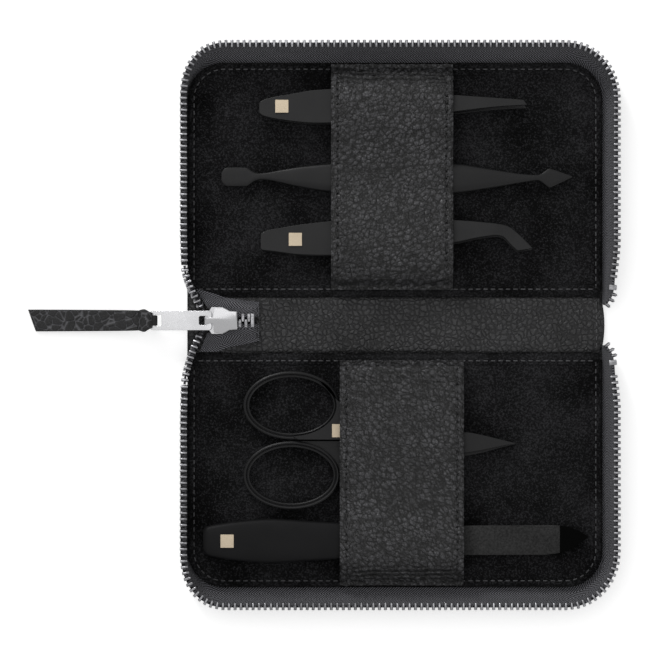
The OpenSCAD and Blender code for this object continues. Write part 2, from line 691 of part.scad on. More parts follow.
// [share of the length, sideways, half width as a share, half height as a share]
pusher_outline = [
    [0, 0, 0.2, 0.16], [0.004, 0, 0.38, 0.2], [0.01, 0, 0.53, 0.24], [0.018, 0, 0.6, 0.25],
    [0.067, 0, 0.6, 0.28], [0.075, 0, 0.55, 0.3], [0.085, 0, 0.39, 0.34],
    [0.095, 0, 0.26, 0.4], [0.106, 0.1, 0.21, 0.44], [0.127, 0.2, 0.23, 0.5],
    [0.152, 0.2, 0.33, 0.56], [0.22, 0, 0.64, 0.78], [0.31, -0.3, 0.91, 0.96],
    [0.42, -0.4, 1, 1], [0.56, -0.4, 1, 1], [0.66, -0.5, 0.97, 0.96], [0.76, -0.6, 0.65, 0.8],
    [0.85, -0.5, 0.31, 0.56], [0.9, -0.3, 0.18, 0.44], [0.91, -0.3, 0.22, 0.38],
    [0.934, -0.4, 0.6, 0.3], [0.944, -0.4, 0.57, 0.26], [0.97, -0.2, 0.33, 0.2],
    [1, 0, 0.03, 0.1]
];
module pusher() {
    translate([pusher_x, pusher_row, seat_z])
        loft([for (k = pusher_outline)
            [k[0] * pusher_length, k[1], pusher_z, k[2] * pusher_w / 2, k[3] * pusher_t / 2, 0]],
            1, 12, 0.6);
}

// Scissors: two halves that cross at a screw. The lower half lies under the upper one.
scissors_x = 1.7;
ring_x = -36.2;                         // from the pivot to the rings' middles
ring_split = 0.5;                       // gap between the two rings
layer_gap = 0.1;
ring_lift = (2 * blade_t + layer_gap - ring_h) / 2;    // centres the rings on the blades
screw_head_r = screw_r + 0.9;
screw_head_h = 0.5;
ring_steps = 40;
function ellipse(a, b) = [for (k = [0 : ring_steps - 1])
    [a * cos(360 * k / ring_steps), b * sin(360 * k / ring_steps)]];
ring_a = ring_inner_length / 2;
ring_b = ring_inner_width / 2;
ring_y = ring_b + ring_wire + ring_split / 2;
module ring() {
    translate([ring_x, ring_y, ring_lift]) linear_extrude(ring_h) difference() {
        polygon(ellipse(ring_a + ring_wire, ring_b + ring_wire));
        polygon(ellipse(ring_a, ring_b));
    }
}
shank_half = 4.6;
blade_tip_y = -0.9;
// Outline of the half whose ring lies on the +Y side
module shank_and_blade() {
    inner_x = ring_x + ring_a + ring_wire / 2;
    difference() {
        polygon(concat(
            spline([[inner_x - 2, ring_y + 5.6], [inner_x + 4, ring_y - 1.5], [-9, shank_half + 1],
                [0, shank_half], [9, 3.9], [0.5 * blade_length, 2.6], [0.8 * blade_length, 0.9],
                [blade_length, blade_tip_y]], 3),
            reversed(spline([[inner_x - 4, ring_split / 2], [-9, 0.2], [-4, -2.5], [0, -shank_half],
                [9, -5], [0.5 * blade_length, -4.5], [0.8 * blade_length, -3],
                [blade_length, blade_tip_y]], 3))
        ));
        translate([ring_x, ring_y]) polygon(ellipse(ring_a + 0.2, ring_b + 0.2));
    }
}
module scissor_half(flat_z) {
    difference() {
        union() {
            ring();
            translate([0, 0, flat_z]) linear_extrude(blade_t) shank_and_blade();
        }
        translate([0, 0, -1]) cylinder(h = 3 * blade_t, r = screw_r + pin_gap, $fn = 48);
    }
}
blades_t = 2 * blade_t + layer_gap;     // both halves where they cross
scissors_inlay_x = ring_x + ring_a + 1.7;
module on_scissors() {
    translate([scissors_x, -scissors_row, seat_z + layer_gap]) children();
}
screw_foot_z = 0.2;
module screw() {
    translate([0, 0, screw_foot_z]) cylinder(h = blades_t, r = screw_r, $fn = 48);
    translate([0, 0, blades_t + layer_gap])
        cylinder(h = screw_head_h, r = screw_head_r, $fn = 48);
}

// File: a moulded handle, a sanded blade and a glossy three-sided point
file_middle_x = 0.45;
file_x = file_middle_x - (handle_length + file_length + point_length) / 2;
handle_outline = [
    [0, 3, 0.44, 0.5], [0.02, 3, 0.66, 0.8], [0.08, 3, 0.79, 0.95], [0.28, 3, 1, 1],
    [0.46, 2.9, 0.89, 0.95], [0.6, 2.7, 0.82, 0.86], [0.8, 2.3, 0.72, 0.7], [1, 1.9, 0.68, 0.6]
];
handle_t = 5.6;
blade_level = 1.9;                      // middle of the blade above the seat
module handle() {
    translate([file_x, -file_row, seat_z])
        loft([for (k = handle_outline)
            [k[0] * handle_length, 0, k[1], k[2] * handle_w / 2, k[3] * handle_t / 2, 0]],
            3, 14, 0.55);
}
module on_blade() {
    translate([file_x + handle_length, -file_row, seat_z + blade_level - file_t / 2]) children();
}
module blade() {
    on_blade() translate([0, -file_w / 2, 0]) cube([file_length, file_w, file_t]);
}
point_tip_y = 1.2;
module point() {
    on_blade() translate([file_length, 0, 0]) linear_extrude(file_t)
        polygon([[0, -file_w / 2], [point_length, point_tip_y - 0.3],
            [point_length, point_tip_y + 0.3], [0, file_w / 2]]);
}

module cover_lower() { color("#1c1c1e") mirror([0, 1, 0]) half_cover(); }
module board_lower() { color("#6d675c") mirror([0, 1, 0]) half_board(); }
module lining_lower() { color("#131313") mirror([0, 1, 0]) half_lining(); }
module band_lower() {
    color("#232324") mirror([0, 1, 0]) half_band(band_lower_x, band_lower_w, band_lower_keys);
}
module zip_tape_lower() { color("#26272a") mirror([0, 1, 0]) half_tape(); }
module zip_teeth_lower() { color("#a8a9ab") mirror([0, 1, 0]) half_teeth(0); }
module zip_top_stop_lower() { color("#a8a9ab") mirror([0, 1, 0]) half_top_stop(); }

module cover_spine() {
    color("#1c1c1e") translate([-side_x - foot_d, -fold_v, 0])
        cube([lining_length + 2 * foot_d, spine_width, cover_t]);
}
facing_inset = 0.6;                     // from the facing's long edges to the fold lines
facing_bulge = 1.2;                     // its right end is cut to a shallow curve
module spine_facing() {
    half = fold_v - facing_inset;
    end = side_x - 0.2;
    color("#202021") translate([0, 0, cover_t]) linear_extrude(facing_t) polygon(concat(
        [[-side_x + 0.4, half], [-side_x + 0.4, -half]],
        [for (k = [0 : 8]) let (a = mix(-1, 1, k / 8))
            [end + facing_bulge * (1 - a * a), a * half]]
    ));
}
module zip_tape_end() { color("#26272a") tape_end(); }
module zip_teeth_joined() { color("#a8a9ab") joined_teeth(); }
module zip_bottom_stop() { color("#a8a9ab") bottom_stop(); }
module zip_link_tape_lower() { color("#26272a") mirror([0, 1, 0]) link_tape(-slider_y); }
module zip_link_teeth_lower() { color("#a8a9ab") mirror([0, 1, 0]) link_teeth(-slider_y); }

module cover_upper() { color("#1c1c1e") half_cover(); }
module board_upper() { color("#6d675c") half_board(); }
module lining_upper() { color("#131313") half_lining(); }
module band_upper() {
    color("#232324") half_band(band_upper_x, band_upper_w, band_upper_keys);
}
module zip_tape_upper() { color("#26272a") half_tape(); }
module zip_teeth_upper() { color("#a8a9ab") half_teeth(0.5); }
module zip_top_stop_upper() { color("#a8a9ab") half_top_stop(); }
module zip_link_tape_upper() { color("#26272a") link_tape(slider_y); }
module zip_link_teeth_upper() { color("#a8a9ab") link_teeth(slider_y); }

module slider_body() { color("#b9babc") slider_wings(); }
module slider_bridge() { color("#b9babc") bridge(); }
module pull_tab() { color("#b9babc") tab(); }
module pull_strap() { color("#1f1f20") strap(); }

module slant_tweezers_lower_arm() { color("#17181a") on_slant() slant_arm(0); }
module slant_tweezers_upper_arm() { color("#17181a") on_slant() slant_arm(1); }
module slant_tweezers_inlay() {
    color("#c9b79c") on_slant() inlay(7.5, 0, inlay_z(0.12, slant_opening));
}
module angled_tweezers_lower_arm() {
    color("#17181a") on_angled() arm(angled_outline, angled_length, angled_w, angled_opening, 0);
}
module angled_tweezers_upper_arm() {
    color("#17181a") on_angled() arm(angled_outline, angled_length, angled_w, angled_opening, 1);
}
module angled_tweezers_inlay() {
    color("#c9b79c") on_angled() inlay(11.5, 0.4, inlay_z(0.19, angled_opening));
}
module cuticle_pusher() { color("#17181a") pusher(); }
module scissors_lower_half() {
    color("#17181a") on_scissors() mirror([0, 1, 0]) scissor_half(0);
}
module scissors_screw() { color("#202124") on_scissors() screw(); }
module scissors_upper_half() {
    color("#17181a") on_scissors() scissor_half(blade_t + layer_gap);
}
module scissors_inlay() {
    color("#c9b79c") on_scissors() inlay(scissors_inlay_x, 3.2, blades_t + inlay_gap);
}
module file_handle() { color("#17181a") handle(); }
module file_blade() { color("#3b3936") blade(); }
module file_point() { color("#0c0c0d") point(); }
module file_inlay() {
    color("#c9b79c") translate([file_x, -file_row, seat_z])
        inlay(8, 0, handle_outline[0][1] + 0.97 * handle_t / 2 + inlay_gap);
}

cover_lower();
board_lower();
lining_lower();
band_lower();
zip_tape_lower();
zip_teeth_lower();
zip_top_stop_lower();
cover_spine();
spine_facing();
zip_tape_end();
zip_teeth_joined();
zip_bottom_stop();
zip_link_tape_lower();
zip_link_teeth_lower();
cover_upper();
board_upper();
lining_upper();
band_upper();
zip_tape_upper();
zip_teeth_upper();
zip_top_stop_upper();
zip_link_tape_upper();
zip_link_teeth_upper();
slider_body();
slider_bridge();
pull_tab();
pull_strap();
slant_tweezers_lower_arm();
slant_tweezers_upper_arm();
slant_tweezers_inlay();
angled_tweezers_lower_arm();
angled_tweezers_upper_arm();
angled_tweezers_inlay();
cuticle_pusher();
scissors_lower_half();
scissors_screw();
scissors_upper_half();
scissors_inlay();
file_handle();
file_blade();
file_point();
file_inlay();
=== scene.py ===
import math

import bmesh
import bpy
from bpy.props import FloatProperty, FloatVectorProperty, PointerProperty
from mathutils import Matrix, Vector, noise


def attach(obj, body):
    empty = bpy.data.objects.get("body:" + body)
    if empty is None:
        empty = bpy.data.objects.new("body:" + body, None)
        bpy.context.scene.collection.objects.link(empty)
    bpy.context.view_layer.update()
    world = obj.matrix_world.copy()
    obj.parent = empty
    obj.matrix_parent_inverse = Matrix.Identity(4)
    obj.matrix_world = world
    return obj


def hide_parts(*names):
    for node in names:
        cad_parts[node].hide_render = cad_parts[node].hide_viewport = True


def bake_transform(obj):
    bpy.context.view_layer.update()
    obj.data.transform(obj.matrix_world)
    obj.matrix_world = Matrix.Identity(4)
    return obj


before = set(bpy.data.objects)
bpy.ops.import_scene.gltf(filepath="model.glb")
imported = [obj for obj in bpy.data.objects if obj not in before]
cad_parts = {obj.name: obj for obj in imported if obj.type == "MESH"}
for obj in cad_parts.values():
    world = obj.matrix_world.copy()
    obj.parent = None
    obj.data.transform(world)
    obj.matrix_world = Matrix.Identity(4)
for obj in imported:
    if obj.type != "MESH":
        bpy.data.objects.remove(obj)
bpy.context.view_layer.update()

bl_info = {
    "name": "Manicure set case",
    "version": (1, 0, 0),
    "blender": (4, 5, 0),
    "location": "3D View > Sidebar > Case",
    "description": "Dresses the zip-around manicure case and its six tools",
    "category": "Add Mesh",
}

MM = 0.001                  # pieces are modelled in millimetres and settled in metres
SAME_PLACE = 0.002          # corners closer than this are one


def srgb(text):
    """Hex colour as linear red, green and blue."""
    def channel(c):
        return c / 12.92 if c <= 0.04045 else ((c + 0.055) / 1.055) ** 2.4
    return tuple(channel(int(text[i:i + 2], 16) / 255) for i in (0, 2, 4))


# Sizes of the case in millimetres, from its CAD. X runs along the spine and V away from its middle.
COVER_T = 1.2
FLOOR_Z = 3.2               # top of the lining
LINING_V = 11.5             # the lining's edge beside the spine
FAR_V = 87.3
SIDE_X = 69.0
CORNER_R = 12.0
LEFT_V = 20.0               # where the stiff zip wall ends beside the slider
RIGHT_V = 11.6              # and where it ends at the other side
FOOT_D = 0.3                # from the lining's edge to the tape's foot
LEFT_REACH, RIGHT_REACH, FAR_REACH = 2.6, 6.0, 7.5     # how far out the rim comes on its sides
TEETH_REACH = 1.2           # how far the teeth stand out from the tape
TAPE_T = 0.8
RIM_H = 5.4                 # top of the cover's leather on the wall
WALL_Z = 8.8                # where the tape stands upright
TAPE_TOP = 10.2
MID_Z = 11.2                # middle of the closed zip
SLIDER_Y = 1.5
CHAIN_Z = 4.7               # middle of the joined teeth
HALVES = (("lower", -1), ("upper", 1))


def mix(a, b, t):
    return a + (b - a) * t


def ease(t):
    t = min(1.0, max(0.0, t))
    return t * t * (3 - 2 * t)


def bezier(a, b, c, t):
    return (1 - t) ** 2 * a + 2 * t * (1 - t) * b + t * t * c


def spline(points, steps):
    """Smooth line through tuples of numbers."""
    out = []
    for i in range(len(points) - 1):
        p0, p1 = points[max(i - 1, 0)], points[i]
        p2, p3 = points[i + 1], points[min(i + 2, len(points) - 1)]
        for k in range(steps):
            t = k / steps
            out.append(tuple(
                0.5 * (2 * b + (c - a) * t + (2 * a - 5 * b + 4 * c - d) * t * t
                       + (3 * b - a - 3 * c + d) * t ** 3)
                for a, b, c, d in zip(p0, p1, p2, p3)))
    return out + [tuple(points[-1])]


LEGS = (FAR_V - CORNER_R - LEFT_V, math.pi / 2 * CORNER_R, 2 * (SIDE_X - CORNER_R),
        math.pi / 2 * CORNER_R, FAR_V - CORNER_R - RIGHT_V)
WAY = sum(LEGS)


def outline(s):
    """Place on the lining's edge at distance s from the slider's bay, and the way outwards."""
    if s <= LEGS[0]:
        return -SIDE_X, LEFT_V + s, -1.0, 0.0
    s -= LEGS[0]
    if s <= LEGS[1]:
        a = math.pi - s / CORNER_R
        return (-SIDE_X + CORNER_R + CORNER_R * math.cos(a),
                FAR_V - CORNER_R + CORNER_R * math.sin(a), math.cos(a), math.sin(a))
    s -= LEGS[1]
    if s <= LEGS[2]:
        return -SIDE_X + CORNER_R + s, FAR_V, 0.0, 1.0
    s -= LEGS[2]
    if s <= LEGS[3]:
        a = math.pi / 2 - s / CORNER_R
        return (SIDE_X - CORNER_R + CORNER_R * math.cos(a),
                FAR_V - CORNER_R + CORNER_R * math.sin(a), math.cos(a), math.sin(a))
    return SIDE_X, FAR_V - CORNER_R - (s - LEGS[3]), 1.0, 0.0


LEAST_OUT = FOOT_D + TAPE_T / 2 + 0.2


def wall_out(p):
    """Distance of the standing tape's middle from the lining's edge."""
    x, v, nx, nv = p
    side = LEFT_REACH if nx < 0 else RIGHT_REACH
    drawn = (0.12 * (1 - ease((v - LEFT_V) / 12)) if nx < 0
             else nx * nx * 0.25 * (1 - ease((v - RIGHT_V) / 16)))
    reach = (side * nx * nx + FAR_REACH * nv * nv) * (1 - drawn)
    return max(LEAST_OUT, reach - TEETH_REACH)


def wall(p, offset, foot_z, t):
    """Point of the wall's curve at share t, as a distance outwards and a height."""
    out = wall_out(p)
    knee = max(LEAST_OUT, out - 0.25 * (out - 0.9))
    return (bezier(FOOT_D, knee + offset, out + offset, t), bezier(foot_z, foot_z, WALL_Z, t))


def placed(p, out, z, half):
    x, v, nx, nv = p
    return Vector((x + nx * out, half * (v + nv * out), z))


def wave(x, y, size, seed=0.0):
    """Smooth unevenness between -1 and 1 whose lumps are about size millimetres apart."""
    return noise.noise(Vector((x / size, y / size, seed)))


def pebble(x, y, size, seed=0.0, long=1.0, turn=0.0, soft=0.42):
    """Leather grain: 1 on the pebbles, 0 in the creases between them, which fall off over a share
    of the pebbles' size."""
    x, y = x + 0.5 * wave(x, y, 2 * size, seed), y + 0.5 * wave(y, x, 2 * size, seed + 5)
    across = (y * math.cos(turn) - x * math.sin(turn)) * long
    along = x * math.cos(turn) + y * math.sin(turn)
    near, nearer = noise.voronoi(Vector((along / size, across / size, seed)))[0][1::-1]
    return ease((near - nearer) / soft)


# Modelling helpers

def take_none():
    bpy.ops.object.select_all(action="DESELECT")


def take(*objs):
    take_none()
    for o in objs:
        o.select_set(True)
    bpy.context.view_layer.objects.active = objs[0]


def finish_with(obj, kind, **settings):
    """Adds a modifier with its settings and applies it."""
    take(obj)
    modifier = obj.modifiers.new(kind.title(), kind)
    for key, value in settings.items():
        setattr(modifier, key, value)
    bpy.ops.object.modifier_apply(modifier=modifier.name)


def edit(obj, kind="FACE", action="DESELECT"):
    """Opens a mesh in edit mode with nothing selected, or with all of it."""
    take(obj)
    bpy.ops.object.mode_set(mode="EDIT")
    bpy.ops.mesh.select_mode(type=kind)
    bpy.ops.mesh.select_all(action=action)


def pick(obj, kind, test):
    """Selects what passes a test on the mesh in edit mode: verts, edges or faces."""
    mesh = bmesh.from_edit_mesh(obj.data)
    for item in getattr(mesh, kind):
        item.select_set(bool(test(item)))
    mesh.select_flush_mode()
    bmesh.update_edit_mesh(obj.data)


def leave():
    bpy.ops.object.mode_set(mode="OBJECT")


def outward(obj):
    """Closes doubled seams and turns every face outwards."""
    edit(obj, action="SELECT")
    bpy.ops.mesh.remove_doubles(threshold=SAME_PLACE)
    bpy.ops.mesh.normals_make_consistent(inside=False)
    leave()


def grid(us, vs, place, chart=None):
    """Sheet of faces with a corner at place(u, v) for each u and v of two lists."""
    take_none()
    bpy.ops.mesh.primitive_grid_add(x_subdivisions=len(us) - 1, y_subdivisions=len(vs) - 1, size=2)
    obj = bpy.context.object
    spots = [(us[round((c.co.x + 1) / 2 * (len(us) - 1))], vs[round((c.co.y + 1) / 2 * (len(vs) - 1))])
             for c in obj.data.vertices]
    for corner, spot in zip(obj.data.vertices, spots):
        corner.co = place(*spot)
    if chart:
        layer = obj.data.uv_layers.active.data
        for loop in obj.data.loops:
            layer[loop.index].uv = chart(*spots[loop.vertex_index])
    return obj


def even(start, stop, count):
    return [mix(start, stop, i / count) for i in range(count + 1)]


def bar(keys, sides, square=1.0):
    """Closed bar along X. Each key is x, y, z, half width, half height."""
    def place(u, k):
        x, y, z, across, up = keys[k]
        a = 2 * math.pi * u
        c, s = math.cos(a), math.sin(a)
        return (x, y + across * math.copysign(abs(c) ** square, c),
                z + up * math.copysign(abs(s) ** square, s))
    return capped(grid(even(0, 1, sides), list(range(len(keys))), place))


def capped(obj):
    """Closes the open ends of a tube."""
    outward(obj)
    edit(obj, "EDGE")
    bpy.ops.mesh.select_non_manifold()
    bpy.ops.mesh.fill_holes(sides=0)
    leave()
    outward(obj)
    return obj


def mark_creases(obj, marks):
    """Tells the leather where its modelled creases lie, from 0 to 1; its finish darkens them on the bands,
    which is painted shade, and lightens them on the strap.
    """
    obj.data.attributes.new("crease", "FLOAT", "POINT").data.foreach_set("value", marks)


def ribbon(rungs, chamfer=0.3, columns=1, grain=None, depth=0.0):
    """Flat bar with chamfered edges. A rung has its left and right corners, each an x and a y,
    and its lowest and highest levels. Both broad faces can have a leather grain of some depth."""
    # Share across, ring of the chamfer from the side inwards, and 1 on top or 0 underneath
    top = [(0, 0, 1), (0, 1, 1)] + [(t, 2, 1) for t in even(0, 1, columns)] + [(1, 1, 1), (1, 0, 1)]
    section = top + [(t, ring, 0) for t, ring, side in reversed(top)] + top[:1]
    marks = []

    def place(k, j):
        left, right, low, high = rungs[k]
        share, ring, side = section[j]
        width = math.dist(left, right)
        c = min(chamfer, (high - low) * 0.45, width * 0.4)
        inset, drop = ((0.0, c), (0.3 * c, 0.3 * c), (c, 0.0))[ring]
        t = mix(inset / width, 1 - inset / width, share)
        x, y = mix(left[0], right[0], t), mix(left[1], right[1], t)
        marks.append(1 - grain(x, y) if grain and ring == 2 else 0.0)
        drop += depth * marks[-1]
        return x, y, high - drop if side else low + drop
    obj = grid(list(range(len(rungs))), list(range(len(section))), place)
    mark_creases(obj, marks)
    return capped(obj)


def moved(obj, matrix):
    obj.data.transform(matrix)
    return obj


def joined(*objs):
    take(*objs)
    bpy.ops.object.join()
    return objs[0]


def slab(points, bottom, top):
    """Flat piece with an outline of points, extruded from bottom to top."""
    take_none()
    bpy.ops.mesh.primitive_circle_add(vertices=len(points), radius=1, fill_type="NGON")
    obj = bpy.context.object
    for corner, point in zip(obj.data.vertices, points):
        corner.co = (point[0], point[1], bottom)
    edit(obj, action="SELECT")
    bpy.ops.mesh.extrude_region_move(TRANSFORM_OT_translate={"value": (0, 0, top - bottom)})
    leave()
    outward(obj)
    return obj


def copy_of(node):
    """Merged copy of a CAD node, in millimetres."""
    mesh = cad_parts[node].data.copy()
    mesh.materials.clear()
    mesh.transform(Matrix.Scale(1 / MM, 4))
    obj = bpy.data.objects.new(node + "_copy", mesh)
    bpy.context.scene.collection.objects.link(obj)
    edit(obj, action="SELECT")
    bpy.ops.mesh.remove_doubles(threshold=SAME_PLACE)
    bpy.ops.mesh.dissolve_limited(angle_limit=math.radians(1))
    leave()
    return obj


def soften(obj, width, segments=2, angle=30):
    finish_with(obj, "BEVEL", width=width, segments=segments, limit_method="ANGLE",
                angle_limit=math.radians(angle), harden_normals=False)
    return obj


CRISP = ("slider_metal", "black_steel", "inlay", "zip_metal", "point_gloss", "file_grit")


def settle(obj, name, body, slot, *nodes, look=None, angle=40):
    """Gives a finished piece its place, finish, name and body, and hides the CAD nodes it stands for.
    On hard pieces the shading follows the broad faces, so that they stay flat between bevels."""
    take(obj)
    bpy.ops.object.transform_apply(location=True, rotation=True, scale=True)
    obj.data.transform(Matrix.Scale(MM, 4))
    bpy.ops.object.shade_smooth_by_angle(angle=math.radians(angle))
    if slot in CRISP:
        finish_with(obj, "WEIGHTED_NORMAL", keep_sharp=True, weight=100)
    obj.name = obj.data.name = name
    obj.data.materials.clear()
    obj.data.materials.append(finish(look or slot))
    if isinstance(body, str):
        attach(obj, body)
    else:
        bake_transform(obj)
    if nodes:
        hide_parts(*nodes)
    return obj


def carry(node, name, body, slot, width, segments=2):
    """A CAD node's own shape with its edges rounded, as cast and stamped metal has them."""
    return settle(soften(copy_of(node), width, segments), name, body, slot, node)


def spaced(points, pitch):
    """Points and directions at an even pitch along a line of points."""
    out, at, goal = [], 0.0, pitch / 2
    for a, b in zip(points, points[1:]):
        length = (b - a).length
        while goal <= at + length:
            out.append((a.lerp(b, (goal - at) / length), (b - a).normalized()))
            goal += pitch
        at += length
    return out


UP = Vector((0, 0, 1))


def stitches(spots, length=1.5, width=0.42, height=0.34, up=lambda place: UP):
    """Row of thread stitches, each one a small rounded bar copied to its spot. Up gives the way
    out of the surface at a place."""
    take_none()
    bpy.ops.mesh.primitive_cube_add(size=1, scale=(length, width, height))
    obj = bpy.context.object
    bpy.ops.object.transform_apply(location=True, rotation=True, scale=True)
    soften(obj, min(width, height) * 0.42, 1)
    pattern = obj.data
    mesh = bmesh.new()
    for place, way in spots:
        side = up(place).cross(way).normalized()
        top = way.cross(side)
        turn = Matrix((way, side, top)).transposed().to_4x4()
        part = pattern.copy()
        part.transform(Matrix.Translation(place) @ turn)
        mesh.from_mesh(part)
        bpy.data.meshes.remove(part)
    mesh.to_mesh(pattern)
    mesh.free()
    return obj


# Finishes

def add(tree, kind, inputs=None, out=0, **settings):
    """Adds a node with its settings and gives one of its outputs. Inputs are numbers, colours or
    the outputs of other nodes."""
    made = tree.nodes.new("ShaderNode" + kind)
    for key, value in settings.items():
        setattr(made, key, value)
    for key, value in (inputs or {}).items():
        if isinstance(value, bpy.types.NodeSocket):
            tree.links.new(value, made.inputs[key])
        else:
            made.inputs[key].default_value = value
    return made.outputs[out]


def start(name, **sockets):
    material = bpy.data.materials.new(name)
    material.use_nodes = True
    tree = material.node_tree
    shader = tree.nodes["Principled BSDF"]
    for key, value in sockets.items():
        shader.inputs[key.replace("_", " ")].default_value = value
    return material, tree, shader


def per_mm(size):
    """Scale of a pattern on coordinates in metres whose grain is size millimetres wide."""
    return 1 / (size * MM)


def shades(colour, *levels):
    """The colour at several levels of brightness."""
    return [tuple(min(1.0, c * level) for c in colour) + (1.0,) for level in levels]


def dress(tree, shader, colour, rough, height, depth):
    """Links a pattern's colour, roughness and height, depth in mm, to the shader."""
    bump = add(tree, "Bump", {"Height": height, "Strength": 1.0, "Distance": depth * MM})
    tree.links.new(colour, shader.inputs["Base Color"])
    if rough:
        tree.links.new(rough, shader.inputs["Roughness"])
    tree.links.new(bump, shader.inputs["Normal"])


def pebbled(name, colour, cell, depth, gloss, crease=0.25, deep=0.1):
    """Tumbled cowhide: rounded pebbles with fine creases between them, glossy on top. The creases, and
    those that are modelled and named by the crease attribute, take colour levels of their own: darker on
    the cover and the bands, which is painted shade, and on the strap the modelled ones lighter. The colour
    also goes lighter and darker in a mottle of fine and broad noise, partly random tone and partly painted
    highlight where the fine grain stands up."""
    material, tree, shader = start(name, Specular_IOR_Level=0.5)
    where = add(tree, "TexCoord", out="Object")
    bent = add(tree, "TexNoise", {"Vector": where, "Scale": per_mm(cell * 2.2), "Detail": 2.0}, "Color")
    warp = add(tree, "VectorMath", {0: bent, 1: (0.5, 0.5, 0.5)}, operation="SUBTRACT")
    shift = add(tree, "VectorMath", {0: warp, "Scale": cell * MM * 1.6}, operation="SCALE")
    place = add(tree, "VectorMath", {0: where, 1: shift}, operation="ADD")
    cells = add(tree, "TexVoronoi", {"Vector": place, "Scale": per_mm(cell), "Randomness": 0.85},
                "Distance", feature="DISTANCE_TO_EDGE")
    fine = add(tree, "TexNoise", {"Vector": where, "Scale": per_mm(cell * 0.3), "Detail": 2.0}, "Fac")
    patch = add(tree, "TexNoise", {"Vector": where, "Scale": per_mm(cell * 7), "Detail": 1.0}, "Fac")
    modelled = add(tree, "Attribute", out="Fac", attribute_name="crease")
    dome = add(tree, "MapRange", {"Value": cells, 2: 0.26}, interpolation_type="SMOOTHSTEP")
    height = add(tree, "Math", {0: fine, 1: 0.25, 2: dome}, operation="MULTIPLY_ADD")
    # Creases between the pebbles take the level crease: darker on the cover and the bands, which is
    # painted shade
    valley = add(tree, "MapRange", {"Value": cells, 1: 0.01, 2: 0.09}, interpolation_type="SMOOTHSTEP")
    # Mottle of fine and broad noise: partly random tone, partly painted highlight, as the fine noise also
    # raises the grain
    mottle_and_highlight = add(tree, "Math", {0: fine, 1: 0.7, 2: patch}, operation="MULTIPLY_ADD")
    mottle_and_highlight = add(tree, "MapRange", {"Value": mottle_and_highlight, 1: 0.6, 2: 1.1})
    line, cleft, body, top = shades(colour, crease, deep, 0.6, 1.9)
    mottled_and_lit = add(tree, "Mix", {"Factor": mottle_and_highlight, 6: body, 7: top}, 2, data_type="RGBA")
    lined = add(tree, "Mix", {"Factor": valley, 6: line, 7: mottled_and_lit}, 2, data_type="RGBA")
    # Modelled creases, seam holes and folds take the level deep: darker on the bands, which is painted
    # shade, and lighter on the strap
    sunk = add(tree, "MapRange", {"Value": modelled, 1: 0.15, 2: 0.85})
    shade = add(tree, "Mix", {"Factor": sunk, 6: lined, 7: cleft}, 2, data_type="RGBA")
    rough = add(tree, "MapRange", {"Value": height, 1: 0.2, 2: 1.2, 3: 0.7, 4: gloss})
    dress(tree, shader, shade, rough, height, depth)
    return material


def suede(colour):
    """Microfibre suede: a very short nap that speckles, with soft darker clouds in it, which are painted
    shade of a brushed nap. The nap is drawn 0.6 mm coarse so that it shows."""
    material, tree, shader = start("black_microfibre_suede", Roughness=1.0, Specular_IOR_Level=0.05,
                                   Sheen_Weight=0.04, Sheen_Roughness=0.6)
    where = add(tree, "TexCoord", out="Object")
    nap = add(tree, "TexNoise", {"Vector": where, "Scale": per_mm(0.6), "Detail": 2.0,
                                 "Roughness": 0.7}, "Fac")
    cloud = add(tree, "TexNoise", {"Vector": where, "Scale": per_mm(18), "Detail": 3.0}, "Fac")
    low, body, high = shades(colour, 0.25, 1.0, 4.2)
    # Soft clouds drawn darker: painted shade of the brushed nap
    nap_shade = add(tree, "MapRange", {"Value": cloud, 1: 0.35, 2: 0.65})
    nap_shaded = add(tree, "Mix", {"Factor": nap_shade, 6: low, 7: body}, 2, data_type="RGBA")
    speckle = add(tree, "Math", {0: cloud, 1: 0.3, 2: nap}, operation="MULTIPLY_ADD")
    speckle = add(tree, "MapRange", {"Value": speckle, 1: 0.62, 2: 0.86})
    shade = add(tree, "Mix", {"Factor": speckle, 6: nap_shaded, 7: high}, 2, data_type="RGBA")
    dress(tree, shader, shade, None, nap, 0.2)
    return material


def herringbone(colour):
    """Woven polyester zip tape: ribs of 0.9 mm that turn back every 2.4 mm. It reads the UV map,
    which is in millimetres along and across the tape."""
    material, tree, shader = start("herringbone_zip_tape", Roughness=0.85, Specular_IOR_Level=0.3,
                                   Sheen_Weight=0.1)
    where = add(tree, "UVMap")
    along = add(tree, "SeparateXYZ", {0: where})
    across = along.node.outputs[1]
    zigzag = add(tree, "Math", {0: across, 1: 2.4}, operation="PINGPONG")
    slant = add(tree, "Math", {0: along, 1: zigzag}, operation="ADD")
    rib = add(tree, "Math", {0: slant, 1: 0.45}, operation="PINGPONG")
    high = add(tree, "MapRange", {"Value": rib, 1: 0.08, 2: 0.37}, interpolation_type="SMOOTHSTEP")
    fuzz = add(tree, "TexNoise", {"Vector": where, "Scale": 2.2, "Detail": 2.0}, "Fac")
    level = add(tree, "Math", {0: fuzz, 1: 0.9, 2: high}, operation="MULTIPLY_ADD")
    low, top = shades(colour, 0.15, 4.0)
    lit = add(tree, "MapRange", {"Value": level, 1: 0.5, 2: 1.5})
    shade = add(tree, "Mix", {"Factor": lit, 6: low, 7: top}, 2, data_type="RGBA")
    dress(tree, shader, shade, None, level, 0.22)
    return material


